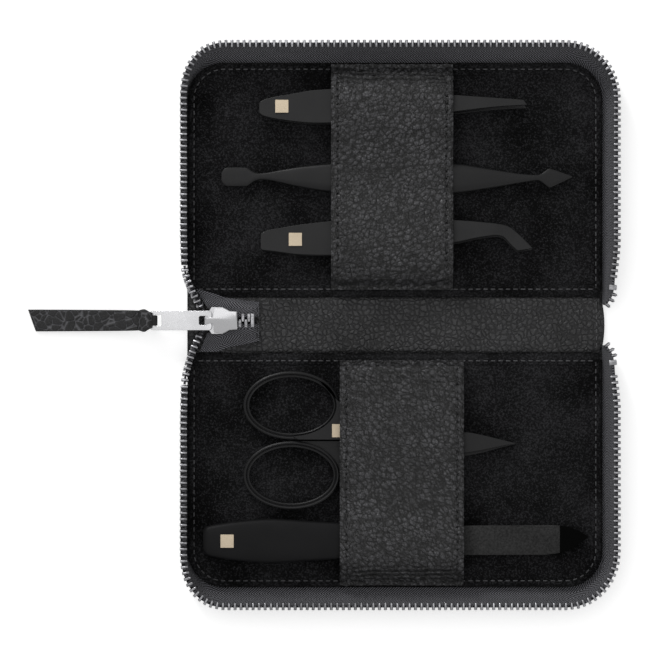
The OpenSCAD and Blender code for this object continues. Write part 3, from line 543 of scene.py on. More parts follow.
def mottled(name, colour, grain, depth, rough, spread=0.1, contrast=0.25, **sockets):
    """Hard finish with a fine grain in its height, its gloss and, a little, its colour."""
    material, tree, shader = start(name, **sockets)
    where = add(tree, "TexCoord", out="Object")
    fine = add(tree, "TexNoise", {"Vector": where, "Scale": per_mm(grain), "Detail": 3.0}, "Fac")
    wide = add(tree, "TexNoise", {"Vector": where, "Scale": per_mm(grain * 40), "Detail": 2.0}, "Fac")
    both = add(tree, "Math", {0: fine, 1: wide}, operation="MULTIPLY")
    amount = add(tree, "MapRange", {"Value": both, 1: 0.12, 2: 0.4})
    low, top = shades(colour, 1 - contrast, 1 + contrast)
    shade = add(tree, "Mix", {"Factor": amount, 6: low, 7: top}, 2, data_type="RGBA")
    gloss = add(tree, "MapRange", {"Value": both, 1: 0.12, 2: 0.4, 3: rough + spread,
                                   4: rough - spread})
    dress(tree, shader, shade, gloss, fine, depth)
    return material


FINISHES = {
    # Tumbled full-grain cowhide on the outside, semi-matt, its creases darkened with painted shade
    "cover_leather": lambda c: pebbled("pebbled_cowhide_cover", c.leather, 1.7, 0.3, 0.46),
    # The same hide on the bands, glossier where the tools stretch it, its creases, seam holes and folds
    # darkened with painted shade
    "band_leather": lambda c: pebbled("pebbled_cowhide_band", c.band, 1.0, 0.13, 0.33, 0.4, 0.04),
    # Dark pebbles whose creases are drawn lighter
    "strap_leather": lambda c: pebbled("pebbled_cowhide_strap", c.strap, 0.9, 0.05, 0.55, 0.9, 13.0),
    "suede": lambda c: suede(c.suede),
    "zip_tape": lambda c: herringbone(c.tape),
    # Nickel-plated brass, tumbled before plating
    "zip_metal": lambda c: mottled(
        "nickel_plated_teeth", c.teeth, 0.9, 0.05, 0.3, 0.12, 0.5, Metallic=1.0),
    # Die-cast zinc with a satin nickel plating
    "slider_metal": lambda c: mottled(
        "satin_nickel_casting", c.nickel, 0.25, 0.004, 0.24, 0.04, 0.06, Metallic=1.0),
    # Steel under a matt black coating
    "black_steel": lambda c: mottled(
        "matt_black_coated_steel", c.coating, 0.3, 0.006, 0.42, 0.06, 0.15, Specular_IOR_Level=0.3),
    # Injection-moulded handle with an eroded, matt skin
    "handle_plastic": lambda c: mottled(
        "matt_moulded_abs", c.coating, 0.3, 0.008, 0.5, 0.06, 0.15, Specular_IOR_Level=0.12),
    # Champagne-coloured anodised plate
    "inlay": lambda c: mottled(
        "champagne_anodised_plate", c.inlay, 0.3, 0.006, 0.45, 0.08, 0.1, Metallic=0.35),
    # Abrasive grains in black binder, drawn a little coarser than they are
    "file_grit": lambda c: mottled(
        "abrasive_grit_coating", c.grit, 0.6, 0.08, 0.85, 0.1, 0.6, Specular_IOR_Level=0.3),
    # Steel ground and polished, under black lacquer
    "point_gloss": lambda c: mottled(
        "polished_black_lacquer", c.lacquer, 1.5, 0.002, 0.16, 0.03, 0.2, Specular_IOR_Level=0.04),
    # Pressed fibre board, hidden between cover and lining
    "board": lambda c: mottled("grey_fibre_board", c.board, 0.5, 0.05, 0.9, 0.05, 0.2),
    # The same thread dyed through, for seams in leather
    "dark_thread": lambda c: mottled("dyed_black_thread", c.leather, 0.2, 0.03, 0.6, 0.1, 0.4),
    # Bonded polyester thread
    "thread": lambda c: mottled(
        "black_polyester_thread", c.thread, 0.2, 0.03, 0.6, 0.1, 0.4, Sheen_Weight=0.2),
}
CACHE = {}


def finish(name):
    """The named finish, made on its first use."""
    if name not in CACHE:
        CACHE[name] = FINISHES[name](bpy.context.scene.case_colours)
    return CACHE[name]


def colour(name, text, about):
    return FloatVectorProperty(name=name, description=about, subtype="COLOR", size=3, min=0, max=1,
                               default=srgb(text))


class CaseColours(bpy.types.PropertyGroup):
    leather: colour("Leather", "212122", "Black cowhide of the cover")
    strap: colour("Strap leather", "121213", "Black cowhide of the strap")
    band: colour("Band leather", "373739", "Black cowhide of the bands")
    suede: colour("Suede", "141415", "Microfibre lining")
    tape: colour("Zip tape", "3a3a3d", "Woven tape of the zip")
    teeth: colour("Teeth", "a9a9ac", "Plated zip teeth")
    nickel: colour("Slider", "d6d6d8", "Satin nickel of slider and pull tab")
    coating: colour("Tool coating", "161617", "Matt black coating of the tools")
    inlay: colour("Inlay", "cfbfa6", "Plain plates let into the tools")
    grit: colour("File grit", "252525", "Abrasive face of the file")
    lacquer: colour("File point", "020202", "Polished point of the file")
    board: colour("Board", "6d675c", "Stiffener")
    thread: colour("Thread", "3e3e40", "Sewing thread")
    floor: colour("Floor", "f4f4f4", "Floor under the case")


class CaseSizes(bpy.types.PropertyGroup):
    stitch_pitch: FloatProperty(
        name="Stitch pitch", description="Distance between the lining's stitches",
        default=0.0025, min=0.001, max=0.006, unit="LENGTH")
    band_stitch_pitch: FloatProperty(
        name="Band stitch pitch", description="Distance between the stitches along the bands",
        default=0.0025, min=0.001, max=0.006, unit="LENGTH")
    camera_height: FloatProperty(
        name="Camera height", description="Height of the camera above the open case",
        default=2.0, min=0.5, max=5, unit="LENGTH")
    view_width: FloatProperty(
        name="View width", description="Width of the camera's view on the case",
        default=0.21667, min=0.1, max=1, unit="LENGTH")


# Cover

def cover_half(half):
    """Outer leather of a half: the flat panel and the rim that turns up round it."""
    run = even(0, WAY, 190)
    share = math.sqrt((RIM_H - COVER_T) / (WALL_Z - COVER_T))
    offset = TAPE_T / 2 + 0.95

    def place(s, t):
        p = outline(s)
        out, z = wall(p, offset, 0.0, share * (1 - t))
        return placed(p, out, z, half)
    obj = grid(run, even(0, 1, 9), place)
    # The panel closes the rim's foot
    edit(obj, "VERT")
    mesh = bmesh.from_edit_mesh(obj.data)
    foot = sorted((v for v in mesh.verts if v.co.z < 1e-4), key=lambda v: v.index)
    mesh.faces.new(foot + [mesh.verts.new((-SIDE_X - FOOT_D, half * RIGHT_V, 0))])
    bmesh.update_edit_mesh(obj.data)
    leave()
    skive = obj.vertex_groups.new(name="skive")
    for v in obj.data.vertices:
        skive.add([v.index], mix(1.0, 0.75, ease(v.co.z / 2)), "REPLACE")
    edit(obj, action="SELECT")
    bpy.ops.mesh.normals_make_consistent(inside=False)
    leave()
    flat = max(obj.data.polygons, key=lambda f: f.area)
    if flat.normal.z > 0:
        obj.data.flip_normals()
    finish_with(obj, "SOLIDIFY", thickness=COVER_T, offset=-1, vertex_group="skive")
    outward(obj)
    return soften(obj, 0.25, 2, 60)


def cover_fold(half):
    """Leather from the middle of the spine over a fold line to the panel."""
    obj = grid(even(-SIDE_X - FOOT_D, SIDE_X + FOOT_D, 60), even(0, RIGHT_V, 24),
               lambda x, v: (x, half * v, 0.0))
    finish_with(obj, "SOLIDIFY", thickness=COVER_T, offset=1)
    obj.data.update()
    if min(v.co.z for v in obj.data.vertices) < -0.1:
        obj.data.transform(Matrix.Translation((0, 0, COVER_T)))
    outward(obj)
    return obj


def make_covers():
    for name, half in HALVES:
        settle(cover_half(half), f"cover_skin_{name}", name, "cover_leather", f"cover_{name}")
        joint = ("spine", name, half * 8.2, half * 11.5)
        settle(cover_fold(half), f"cover_fold_{name}", joint, "cover_leather", "cover_spine")
        # The seam that holds the tape, on the rim's outer face
        edge = [outline(s) for s in even(1.0, WAY - 1.0, 260)]
        rim = [placed(p, *wall(p, TAPE_T / 2 + 1.0, 0.0, 0.62), half) for p in edge]
        middle = Vector((0, half * 45, 14))
        row = stitches(spaced(rim, 3.0), 1.9, 0.5, 0.4,
                       lambda p: Vector((p.x, p.y - middle.y, -middle.z)).normalized())
        settle(row, f"cover_stitches_{name}", name, "cover_leather", look="thread")
        paint(f"board_{name}", "board")


def paint(node, look):
    """Gives a carried-over CAD node its finish."""
    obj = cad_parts[node]
    obj.data.materials.clear()
    obj.data.materials.append(finish(look))


# Lining

SEAM_IN = 1.95              # the lining's seam, from its edge


def lining_depth(x, v):
    """Distance of a point of the lining from its edge. Beside the spine only the edge counts."""
    if abs(x) > SIDE_X - CORNER_R and v > FAR_V - CORNER_R:
        return CORNER_R - math.hypot(abs(x) - SIDE_X + CORNER_R, v - FAR_V + CORNER_R)
    return min(SIDE_X - abs(x), FAR_V - v, 4 * (v - LINING_V))


def lining_half(half):
    """Suede turned over the board's edges, with the groove that its stitches pull."""
    take_none()
    middle = (LINING_V + FAR_V) / 2
    bpy.ops.mesh.primitive_plane_add(size=1, location=(0, middle, FLOOR_Z))
    obj = bpy.context.object
    obj.scale = (2 * SIDE_X, FAR_V - LINING_V, 1)
    bpy.ops.object.transform_apply(location=True, rotation=True, scale=True)
    edit(obj, "VERT")
    pick(obj, "verts", lambda v: v.co.y > middle)
    bpy.ops.mesh.bevel(offset=CORNER_R, segments=14, affect="VERTICES", offset_type="OFFSET")
    for step in (0.15, 0.25, 1.2, 0.35, 0.4, 1.2):
        bpy.ops.mesh.select_mode(type="FACE")
        pick(obj, "faces", lambda f: f.calc_area() > 4000)
        bpy.ops.mesh.inset(thickness=step, depth=0)
    leave()
    # Distance from the edge, and height: the rolled edge, then the groove that the seam pulls
    levels = ((0.0, -0.5), (0.15, -0.2), (0.4, 0.0), (1.6, -0.02), (SEAM_IN, -0.32), (2.35, -0.03),
              (3.5, 0.0))
    for v in obj.data.vertices:
        d = lining_depth(v.co.x, v.co.y)
        z = levels[-1][1]
        for (a, za), (b, zb) in zip(levels, levels[1:]):
            if a <= d <= b:
                z = mix(za, zb, (d - a) / (b - a))
        v.co.z = FLOOR_Z + z
    edit(obj, "EDGE")
    pick(obj, "edges", lambda e: e.is_boundary)
    bpy.ops.mesh.extrude_edges_move(TRANSFORM_OT_translate={"value": (0, 0, -1)})
    leave()
    for v in obj.data.vertices:
        if v.co.z < FLOOR_Z - 1:
            v.co.z = COVER_T + 0.05
    edit(obj, "EDGE")
    pick(obj, "edges", lambda e: e.is_boundary)
    bpy.ops.mesh.edge_face_add()
    leave()
    if half < 0:
        obj.data.transform(Matrix.Scale(-1, 4, Vector((0, 1, 0))))
    outward(obj)
    return obj


def lining_fold(half):
    """Suede that runs on from the lining, down over the fold to the spine's facing."""
    def place(x, v):
        return x, half * v, mix(COVER_T + 0.8, FLOOR_Z - 0.1, ease((v - 9.5) / 2.1))
    obj = grid(even(-SIDE_X + 0.6, SIDE_X - 0.6, 40), even(9.5, 12.3, 14), place)
    finish_with(obj, "SOLIDIFY", thickness=0.28, offset=0)
    outward(obj)
    return obj


def make_linings():
    pitch = bpy.context.scene.case_sizes.stitch_pitch / MM
    for name, half in HALVES:
        settle(lining_half(half), f"lining_suede_{name}", name, "suede", f"lining_{name}")
        joint = ("spine", name, half * 8.8, half * 11.6)
        settle(lining_fold(half), f"lining_fold_{name}", joint, "suede")
        line = [placed(outline(s), -SEAM_IN, FLOOR_Z - 0.16, half) for s in even(-5.5, WAY - 1, 300)]
        near = [Vector((x, half * (LINING_V + 0.45), FLOOR_Z + 0.08)) for x in (-66, 67)]
        rows = spaced(line, pitch) + spaced(near, pitch)
        settle(stitches(rows), f"lining_stitches_{name}", name, "suede", look="thread")


# Zip

def tape_half(half):
    """Woven tape from the lining's foot up to the teeth."""
    def place(s, t):
        p = outline(s)
        if t <= 1:
            out, z = wall(p, 0.0, COVER_T + 0.05 + TAPE_T / 2, t)
        else:
            out, z = wall_out(p), mix(WALL_Z, TAPE_TOP, t - 1)
        return placed(p, out, z, half)
    obj = grid(even(0, WAY, 200), even(0, 1, 10) + [1.3, 1.65, 2.0], place,
               lambda s, t: (s, t * 9))
    finish_with(obj, "SOLIDIFY", thickness=TAPE_T - 0.1, offset=0)
    outward(obj)
    return obj


def turned_end(half):
    """End of the tape away from the slider, drawn in and down to the spine, where it is tucked in."""
    p = outline(WAY)
    foot = COVER_T + 0.05 + TAPE_T / 2

    def place(u, t):
        if t <= 1:
            out, z = wall(p, 0.0, foot, t)
        else:
            out, z = wall_out(p), mix(WALL_Z, TAPE_TOP, t - 1)
        return (SIDE_X + out * (1 - 0.7 * u * u), half * (RIGHT_V + 0.2 - 5.0 * u),
                mix(foot, z, 1 - 0.68 * u ** 1.4))
    tape = grid(even(0, 1, 14), even(0, 1, 10) + [1.3, 1.65, 2.0], place, lambda u, t: (u * 6, t * 9))
    finish_with(tape, "SOLIDIFY", thickness=TAPE_T - 0.1, offset=0)
    outward(tape)
    spots = []
    for u in (0.3, 0.62, 0.94):
        x, y, z = place(u, 2.0)
        way = Vector((1, -half * 0.9 * u, 0)).normalized()
        spots.append((Vector((x, y, z + 0.3)) + way * 0.75, way))
    return tape, stitches(spots, 2.3, 1.1, 1.6)


def link_point(t, c):
    first = Vector((-SIDE_X - wall_out(outline(0)), LEFT_V - 0.3, MID_Z))
    pull = Vector((first.x + 0.5, LEFT_V - 5.5, MID_Z))
    near, last = Vector((-67.4, c + 9, CHAIN_Z + 2.8)), Vector((-64.0, c + 2.9, CHAIN_Z))
    a, b, d = first.lerp(pull, t), pull.lerp(near, t), near.lerp(last, t)
    return a.lerp(b, t).lerp(b.lerp(d, t), t)


def link_axes(t, c):
    run = (link_point(min(1, t + 0.02), c) - link_point(max(0, t - 0.02), c)).normalized()
    want = Vector((0, 0, 1)).lerp(Vector((0.3, -0.95, 0)), ease(t))
    up = (want - run * want.dot(run)).normalized()
    return run, up, up.cross(run)


def link_tape(half):
    """Loose stretch of tape that turns from standing to lying on its way to the slider."""
    c = half * SLIDER_Y

    def place(t, k):
        point = link_point(t, c)
        run, up, side = link_axes(t, c)
        reach = min(mix(MID_Z - FLOOR_Z - 0.8, 6.4, t), (point.z - FLOOR_Z - 0.8) / max(0.05, up.z))
        at = point - up * mix(reach, MID_Z - TAPE_TOP, k)
        return at.x, half * at.y, at.z
    obj = grid(even(0, 1, 24), even(0, 1, 8), place, lambda t, k: (t * 22, k * 7))
    finish_with(obj, "SOLIDIFY", thickness=TAPE_T - 0.1, offset=0)
    outward(obj)
    return obj


def make_zips():
    for name, half in HALVES:
        settle(tape_half(half), f"zip_tape_woven_{name}", name, "zip_tape", f"zip_tape_{name}")
        carry(f"zip_teeth_{name}", f"teeth_{name}", name, "zip_metal", 0.16)
        carry(f"zip_top_stop_{name}", f"top_stop_{name}", name, "zip_metal", 0.25)
        tape, heads = turned_end(half)
        joint = ("spine", name, half * 8.2, half * 11.5)
        settle(tape, f"tape_turned_end_{name}", joint, "zip_tape")
        settle(heads, f"turned_end_teeth_{name}", joint, "zip_metal")
        joint = ("spine", name, half * 8, half * 19)
        settle(link_tape(half), f"link_tape_{name}", joint, "zip_tape", f"zip_link_tape_{name}")
        carry(f"zip_link_teeth_{name}", f"link_teeth_{name}", joint, "zip_metal", 0.16)
    carry("zip_teeth_joined", "teeth_joined", "spine", "zip_metal", 0.14)
    carry("zip_bottom_stop", "bottom_stop", "spine", "zip_metal", 0.2)


# Spine

def facing():
    """Leather strip sewn over the inside of the spine, its long edges rounded over."""
    half, start, end = 9.4, -68.6, 68.8

    def place(u, w):
        a = 2 * w - 1
        right = end + 1.2 * (1 - a * a)
        x = mix(start, right, u)
        edge = min((1 - abs(a)) * half, x - start, right - x)
        z = COVER_T + 1.15 - 0.75 * (1 - ease(edge / 0.9)) + 0.12 * wave(x, a * half, 9)
        return x, a * half, z
    cross = [0, 0.01, 0.03, 0.06] + even(0.1, 0.9, 16) + [0.94, 0.97, 0.99, 1]
    along = [0, 0.002, 0.004, 0.007] + even(0.02, 0.98, 90) + [0.993, 0.996, 0.998, 1]
    obj = grid(along, cross, place)
    finish_with(obj, "SOLIDIFY", thickness=0.6, offset=-1)
    outward(obj)
    return obj


TAB_EDGES = {
    1: ([(-66.3, 10.6), (-60.1, 8.9), (-56.0, 7.5), (-50.0, 6.7), (-45.3, 6.2)], 1),
    -1: ([(-65.2, 10.4), (-59.0, 10.3), (-56.0, 9.1), (-50.0, 7.9), (-45.3, 6.8)], -1),
}


def tape_tab(side):
    """End of one tape, lying beside the slider and sewn down over the spine. Its inner edge
    leaves the joined teeth free and opens into the slider's mouth."""
    outer = spline(TAB_EDGES[side][0], 6)
    inner = spline([(-62.6, 4.3), (-60.4, 2.6), (-58.4, 1.1), (-52.0, 1.1), (-45.3, 1.1)], 6)

    def place(k, w):
        (xa, ya), (xb, yb) = inner[k], outer[k]
        x, y = mix(xa, xb, w), mix(ya, yb, w)
        rest = mix(3.9, COVER_T + 1.2 + 0.45, ease((x + 62) / 9))
        outside = ease((y - mix(5.2, 3.2, ease((x + 53.5) / 4))) / 2.2)
        z = mix(CHAIN_Z, rest, outside) + 0.1 * wave(x, side * y, 4, 2.2)
        end = ease((x + 47.6) / 1.5)
        return x, SLIDER_Y + side * y, mix(z, COVER_T + 1.2 + 0.4, end)
    obj = grid(list(range(len(outer))), even(0, 1, 16), place, lambda k, w: (outer[k][0], w * 9))
    finish_with(obj, "SOLIDIFY", thickness=0.6, offset=0)
    outward(obj)
    return obj


def make_spine():
    settle(facing(), "facing_leather", "spine", "cover_leather", "spine_facing")
    for name, half, node in (("upper", 1, ["zip_tape_end"]), ("lower", -1, [])):
        settle(tape_tab(half), f"tape_end_woven_{name}", ("spine", name, half * 6.5, half * 11.5),
               "zip_tape", *node)
    row = [Vector((67.3, y, COVER_T + 1.15)) for y in (-7.8, 7.8)]
    settle(stitches(spaced(row, 2.3), 1.3, 0.42, 0.3), "facing_stitches", "spine", "cover_leather",
           look="thread")
    row = [Vector((-45.9, SLIDER_Y + y, COVER_T + 2.0)) for y in (-6.2, 5.6)]
    settle(stitches(spaced(row, 2.2), 1.5, 0.4, 0.3), "tape_end_stitches", "spine", "zip_tape",
           look="dark_thread")


# Bands

BANDS = {
    "upper": (-21.3, 40.6, [
        (15.5, 4), (21.2, 6.6), (28.7, 7.3), (37.7, 6.2), (44.4, 4.8), (52.4, 4.8), (61.4, 5.8),
        (66.2, 7.1), (73.2, 7.5), (79.7, 6.2)]),
    "lower": (-18.4, 41.3, [
        (14.0, 5.2), (20.4, 5.4), (30.4, 5.5), (42.4, 5.4), (54.4, 4.9), (64.9, 5.4), (71.9, 5.95),
        (78.9, 5.1)]),
}
BAND_T = 1.2
BAND_STEP = 0.36            # between the band's modelled rows
BAND_SEAM = 2.2             # the seam, from the band's edge


def band_top(keys):
    """Profile of the band's upper face as [distance from the spine's middle, height]."""
    ends = [(LINING_V + 0.1, 0.1), (LINING_V + 1.6, 0.1)]
    far = [(FAR_V - 1.6, 0.1), (FAR_V - 0.1, 0.1)]
    line = spline(ends + keys + far, 7)
    return [(v, FLOOR_Z + max(z, 0.1) + BAND_T) for v, z in line]


def band(half, x0, width, keys, pitch):
    """Leather band over the tools, sewn along both edges, drawn down at its two hems. Its grain,
    the folds beside the hems and the holes of its seams are modelled."""
    line = [(p.y, p.z, step * BAND_STEP) for step, (p, way) in enumerate(
        spaced([Vector((0, v, z)) for v, z in band_top(keys)], BAND_STEP))]
    rim = [0, 0.15, 0.4, 0.8, 1.2, 1.6, 1.9, 2.2, 2.5, 2.8]
    cross = rim + even(3.2, width - 3.2, 86) + [width - c for c in reversed(rim)]
    marks = []

    def place(c, k):
        v, z, s = line[k]
        edge = min(c, width - c)
        hole = abs(s - pitch * round(s / pitch))
        seam = math.exp(-((edge - BAND_SEAM) / 0.32) ** 2)
        sunk = seam * (0.12 + 0.5 * math.exp(-(hole / 0.34) ** 2))
        roll = 0.5 * (1 - ease(edge / 0.7))
        crease = 0.2 * wave(c, v * 2.2, 7, 3.7 * half) * ease((edge - 2.5) / 4)
        grain = pebble(c, v, 1.9, 3 * half, 1.25, 0.5)
        folds = 0.0
        for middle, reach, depth in ((82.3, 2.2, 0.3), (17.5, 2.5, 0.14)):
            ripple = math.sin(2 * math.pi * (v + 0.7 * wave(c, v, 9, 1.1)) / 1.5) - 0.3
            folds += depth * ripple * math.exp(-((v - middle) / reach) ** 2)
        folds *= ease((edge - 2.4) / 2)
        # Grain valleys, seam holes and fold hollows are marked, and the band's finish darkens them:
        # painted shade
        marks.append(max(0.9 * (1 - grain), sunk * 1.8, -2.2 * folds))
        return x0 + c, half * v, z - sunk - roll + crease + 0.3 * grain + folds - 0.42
    obj = grid(cross, list(range(len(line))), place, lambda c, k: (c, line[k][0]))
    mark_creases(obj, marks)
    if obj.data.polygons[0].normal.z < 0:
        obj.data.flip_normals()
    finish_with(obj, "SOLIDIFY", thickness=BAND_T - 0.45, offset=-1)
    outward(obj)
    return obj


def make_bands():
    pitch = bpy.context.scene.case_sizes.band_stitch_pitch / MM
    for name, half in HALVES:
        x0, width, keys = BANDS[name]
        settle(band(half, x0, width, keys, pitch), f"band_leather_{name}", name, "band_leather",
               f"band_{name}")
        rows = []
        for x in (x0 + BAND_SEAM, x0 + width - BAND_SEAM):
            rows += spaced([Vector((x, half * v, z - 0.36)) for v, z in band_top(keys)], pitch)
        settle(stitches(rows, pitch - 0.9, 0.42, 0.3), f"band_stitches_{name}", name, "band_leather",
               look="dark_thread")


# Slider, tab and strap

PULL_BAR = (-61.6, 7.8)     # the tab's end bar in the slider: x and height
TAB_SLOPE = math.radians(8)
STRAP_BAR = 19.5            # from that bar to the one that the strap turns round
STRAP_END = 40.25


def strap_grain(x, y):
    return pebble(x, y, 2.7, 4.4, 1.05, 0.3, 0.14)


def strap_knot(turn):
    """Bulge of leather where the plies come together, hollow where it turns round the bar. It
    narrows towards the bar, and is creased as the plies are."""
    back = [(0.0, -2.05), (-1.4, -2.35), (-2.7, -2.3), (-3.9, -1.75), (-4.8, -1.2),
            (-4.8, 0.7), (-4.2, 1.5), (-3.4, 2.5), (-2.2, 3.0), (-1.0, 2.8), (0.0, 2.2)]
    step = 0.4
    line = [Vector((x, z, 0)) for x, z in turn + back + turn[:1]]
    skin = [p for p, way in spaced(line, step)]
    skin.append(skin[0])
    marks = []

    def place(k, share):
        x, z, _ = skin[k]
        bulge = 1 - 0.26 * ease((x + 2.6) / 2.6) - 0.06 * ease((-3.4 - x) / 1.4)
        y = 3.75 * share * bulge
        marks.append((1 - pebble(step * k, y, 2.5, 1.7, 1.0, 0.2, 0.16)) * ease((1 - abs(share)) / 0.2))
        cx, cz = -2.4, 0.3
        rounding = 1 - 0.3 * max(0.0, (abs(share) - 0.72) / 0.28) ** 2.5
        scale = rounding * (1 - 0.2 * marks[-1] / max(1e-6, math.hypot(x - cx, z - cz)))
        return cx + (x - cx) * scale, y + 0.1 * wave(x, z, 1.5), cz + (z - cz) * scale
    obj = grid(list(range(len(skin))), even(-1, 1, 30), place)
    mark_creases(obj, marks)
    return capped(obj)


def strap_loop():
    """The plies' turn round the bar."""
    radii, sides = (1.2, 1.2, 1.75, 1.75, 1.2), (-1.7, 1.7, 1.7, -1.7, -1.7)
    obj = grid(even(0, 2 * math.pi, 36), list(range(5)), lambda a, k: (
        radii[k] * math.cos(a), sides[k], radii[k] * math.sin(a)))
    outward(obj)
    return soften(obj, 0.2, 2, 50)


def make_strap():
    """Two plies of leather, folded round the tab's bar, with a knot where they come together."""
    bar_x = PULL_BAR[0] - STRAP_BAR * math.cos(TAB_SLOPE)
    bar_z = PULL_BAR[1] - STRAP_BAR * math.sin(TAB_SLOPE)
    path = spline([(-3.6, -0.35, 3.3), (-8, -0.8, 3.45), (-17, -1.9, 3.55), (-29.5, -3.0, 3.62),
                   (-STRAP_END, 1.35 - bar_z, 3.66)], 38)
    rungs = []
    for x, z, reach in path:
        slant = 1.5 * ease((-x - 34) / 8)
        rungs.append(((x - slant, reach), (x + slant, -reach), z - 1.2, z + 1.2))
    plies = ribbon(rungs, 0.45, 40, strap_grain, 0.3)
    turn = [(1.45 * math.cos(a), 1.45 * math.sin(a)) for a in even(math.pi / 2, 1.5 * math.pi, 14)]
    strap = joined(plies, strap_knot(turn), strap_loop())
    return moved(strap, Matrix.Translation((bar_x, SLIDER_Y, bar_z)))


def make_slider():
    carry("slider_body", "slider_wings", "slider", "slider_metal", 0.2, 3)
    carry("slider_bridge", "slider_crown", "slider", "slider_metal", 0.2, 3)
    carry("pull_tab", "pull_tab_plate", "pull", "slider_metal", 0.18, 3)
    settle(make_strap(), "strap_leather_folded", "strap", "strap_leather", "pull_strap")


# Tools

SEAT_Z = 3.3                # underside of what lies on the lining
ARM_T = 1.2
SLANT = [
    (0, -0.3, 0.3, 0), (0.006, -0.3, 0.4, 0), (0.02, -0.3, 0.5, 0), (0.057, -0.3, 0.65, 0),
    (0.125, -0.3, 0.82, 0), (0.19, -0.1, 0.96, 0), (0.27, 0.1, 1, 0), (0.38, 0.3, 0.98, 0),
    (0.5, 0.4, 0.86, 0), (0.62, 0.5, 0.68, 0), (0.72, 0.6, 0.5, 0), (0.85, 0.8, 0.3, 0),
    (0.92, 0.8, 0.22, 0), (0.975, 0.7, 0.16, 0)]
ANGLED = [
    (0, -0.1, 0.4, 0), (0.006, -0.1, 0.5, 0), (0.033, 0.2, 0.6, 0), (0.09, 0.3, 0.72, 0),
    (0.163, 0.4, 0.86, 0), (0.29, 0.8, 0.98, 0), (0.45, 1.5, 1, 0), (0.64, 2.3, 0.86, 0),
    (0.82, 2.9, 0.66, 0), (0.92, 3.4, 0.47, 0), (0.98, 3.5, 0.37, 0), (1.01, 3.4, 0.34, -15),
    (1.04, 2.9, 0.34, -32), (1.063, 1.7, 0.35, -44), (1.126, -3.2, 0.45, -81)]
# Outline keys, length, width, opening at the tip, roll in degrees, and place
TWEEZERS = {
    "slant": (SLANT, 90.0, 11.5, 3.8, 11, (-45.2, 72.2, SEAT_Z + 1.097)),
    "angled": (ANGLED, 78.0, 11.6, 3.2, 7, (-44.7, 27.7, SEAT_Z + 0.853)),
}


def arm(kind, upper):
    """One arm of a pair of tweezers, stamped flat. Upper is 1 for the upper arm, 0 for the lower."""
    keys, length, width, opening, roll, place = TWEEZERS[kind]
    rungs = []
    for share, y, half, turn in spline(keys, 4):
        a = math.radians(turn)
        reach = max(half, 0.02) * width / 2
        low = upper * (ARM_T + 0.1 + opening * min(1.0, max(0.0, share)) ** 0.9)
        thin = 0.12 * ease((share - 0.7) / 0.2)
        dx, dy = -math.sin(a) * reach, math.cos(a) * reach
        x = share * length
        rungs.append(((x + dx, y + dy), (x - dx, y - dy), low + thin, low + ARM_T - thin))
    if kind == "slant":
        rungs.append(((length - 2.3, 1.6), (length - 0.9, -0.2), low + thin, low + ARM_T - thin))
    turned = Matrix.Translation(place) @ Matrix.Rotation(-math.radians(roll), 4, "X")
    return moved(ribbon(rungs, 0.26), turned)


def make_tweezers():
    for kind in TWEEZERS:
        settle(arm(kind, 0), f"{kind}_lower_arm", f"{kind}_tweezers", "black_steel",
               f"{kind}_tweezers_lower_arm", angle=25)
        settle(arm(kind, 1), f"{kind}_upper_arm", f"{kind}_tweezers_arm", "black_steel",
               f"{kind}_tweezers_upper_arm", angle=25)
        carry(f"{kind}_tweezers_inlay", f"{kind}_inlay", f"{kind}_tweezers_arm", "inlay", 0.08)


def make_pusher():
    """Rounded paddle, swelling grip and leaf-shaped point, forged in one piece."""
    keys = [
        (0.0, 0, 0.3, 0.2), (0.004, 0, 0.44, 0.22), (0.01, 0, 0.55, 0.24), (0.02, 0, 0.6, 0.25),
        (0.065, 0, 0.6, 0.28), (0.075, 0, 0.55, 0.3), (0.085, 0, 0.4, 0.34), (0.095, 0, 0.27, 0.4),
        (0.108, 0.1, 0.21, 0.44), (0.13, 0.2, 0.24, 0.5), (0.16, 0.2, 0.37, 0.58), (0.22, 0, 0.64, 0.78),
        (0.31, -0.3, 0.91, 0.96), (0.42, -0.4, 1, 1), (0.56, -0.4, 1, 1), (0.66, -0.5, 0.97, 0.96),
        (0.76, -0.6, 0.65, 0.8), (0.85, -0.5, 0.31, 0.56), (0.895, -0.3, 0.19, 0.44),
        (0.91, -0.3, 0.24, 0.38), (0.932, -0.4, 0.58, 0.3), (0.942, -0.4, 0.58, 0.27),
        (0.97, -0.2, 0.33, 0.2), (1, 0, 0.04, 0.1)]
    obj = bar([(-57.8 + 116.8 * share, 49.4 + y, SEAT_Z + 1.9, 5.2 * half, 1.9 * high)
               for share, y, half, high in spline(keys, 4)], 40, 0.62)
    settle(obj, "pusher_bar", "pusher", "black_steel", "cuticle_pusher", angle=50)


PIVOT = (1.7, -38.4, 3.4)
RING = (-36.2, 11.65, 14.0, 9.3)         # middle and half axes of a ring's opening
RING_PROFILE = [
    (0.0, 1.0), (0.0, 1.9), (0.12, 2.25), (0.42, 2.4), (0.72, 2.28), (0.88, 2.2), (1.0, 2.5),
    (1.25, 2.85), (1.6, 2.95), (1.95, 2.7), (2.1, 2.2), (2.1, 0.8), (1.9, 0.3), (1.4, 0.05),
    (0.7, 0.05), (0.2, 0.4), (0.0, 1.0)]
UPPER_BLADE = ([(0, 4.6), (9, 3.9), (19.5, 2.7), (23, 2.6), (28, 1.6), (33, 0.4), (38.4, -0.95)],
               [(0, -4.6), (9, -5), (19.5, -4.0), (23, -3.9), (28.4, -3.0), (34.6, -1.7), (38.4, -1.2)])
LOWER_BLADE = ([(0, 4.6), (9, 4.4), (19.5, 2.4), (23, 2.1), (28, 1.0), (33, 0.0), (38.2, -1.2)],
               [(0, -4.6), (9, -5.1), (19.5, -5.3), (23, -5.0), (28.4, -3.9), (34.6, -2.2), (38.2, -1.45)])


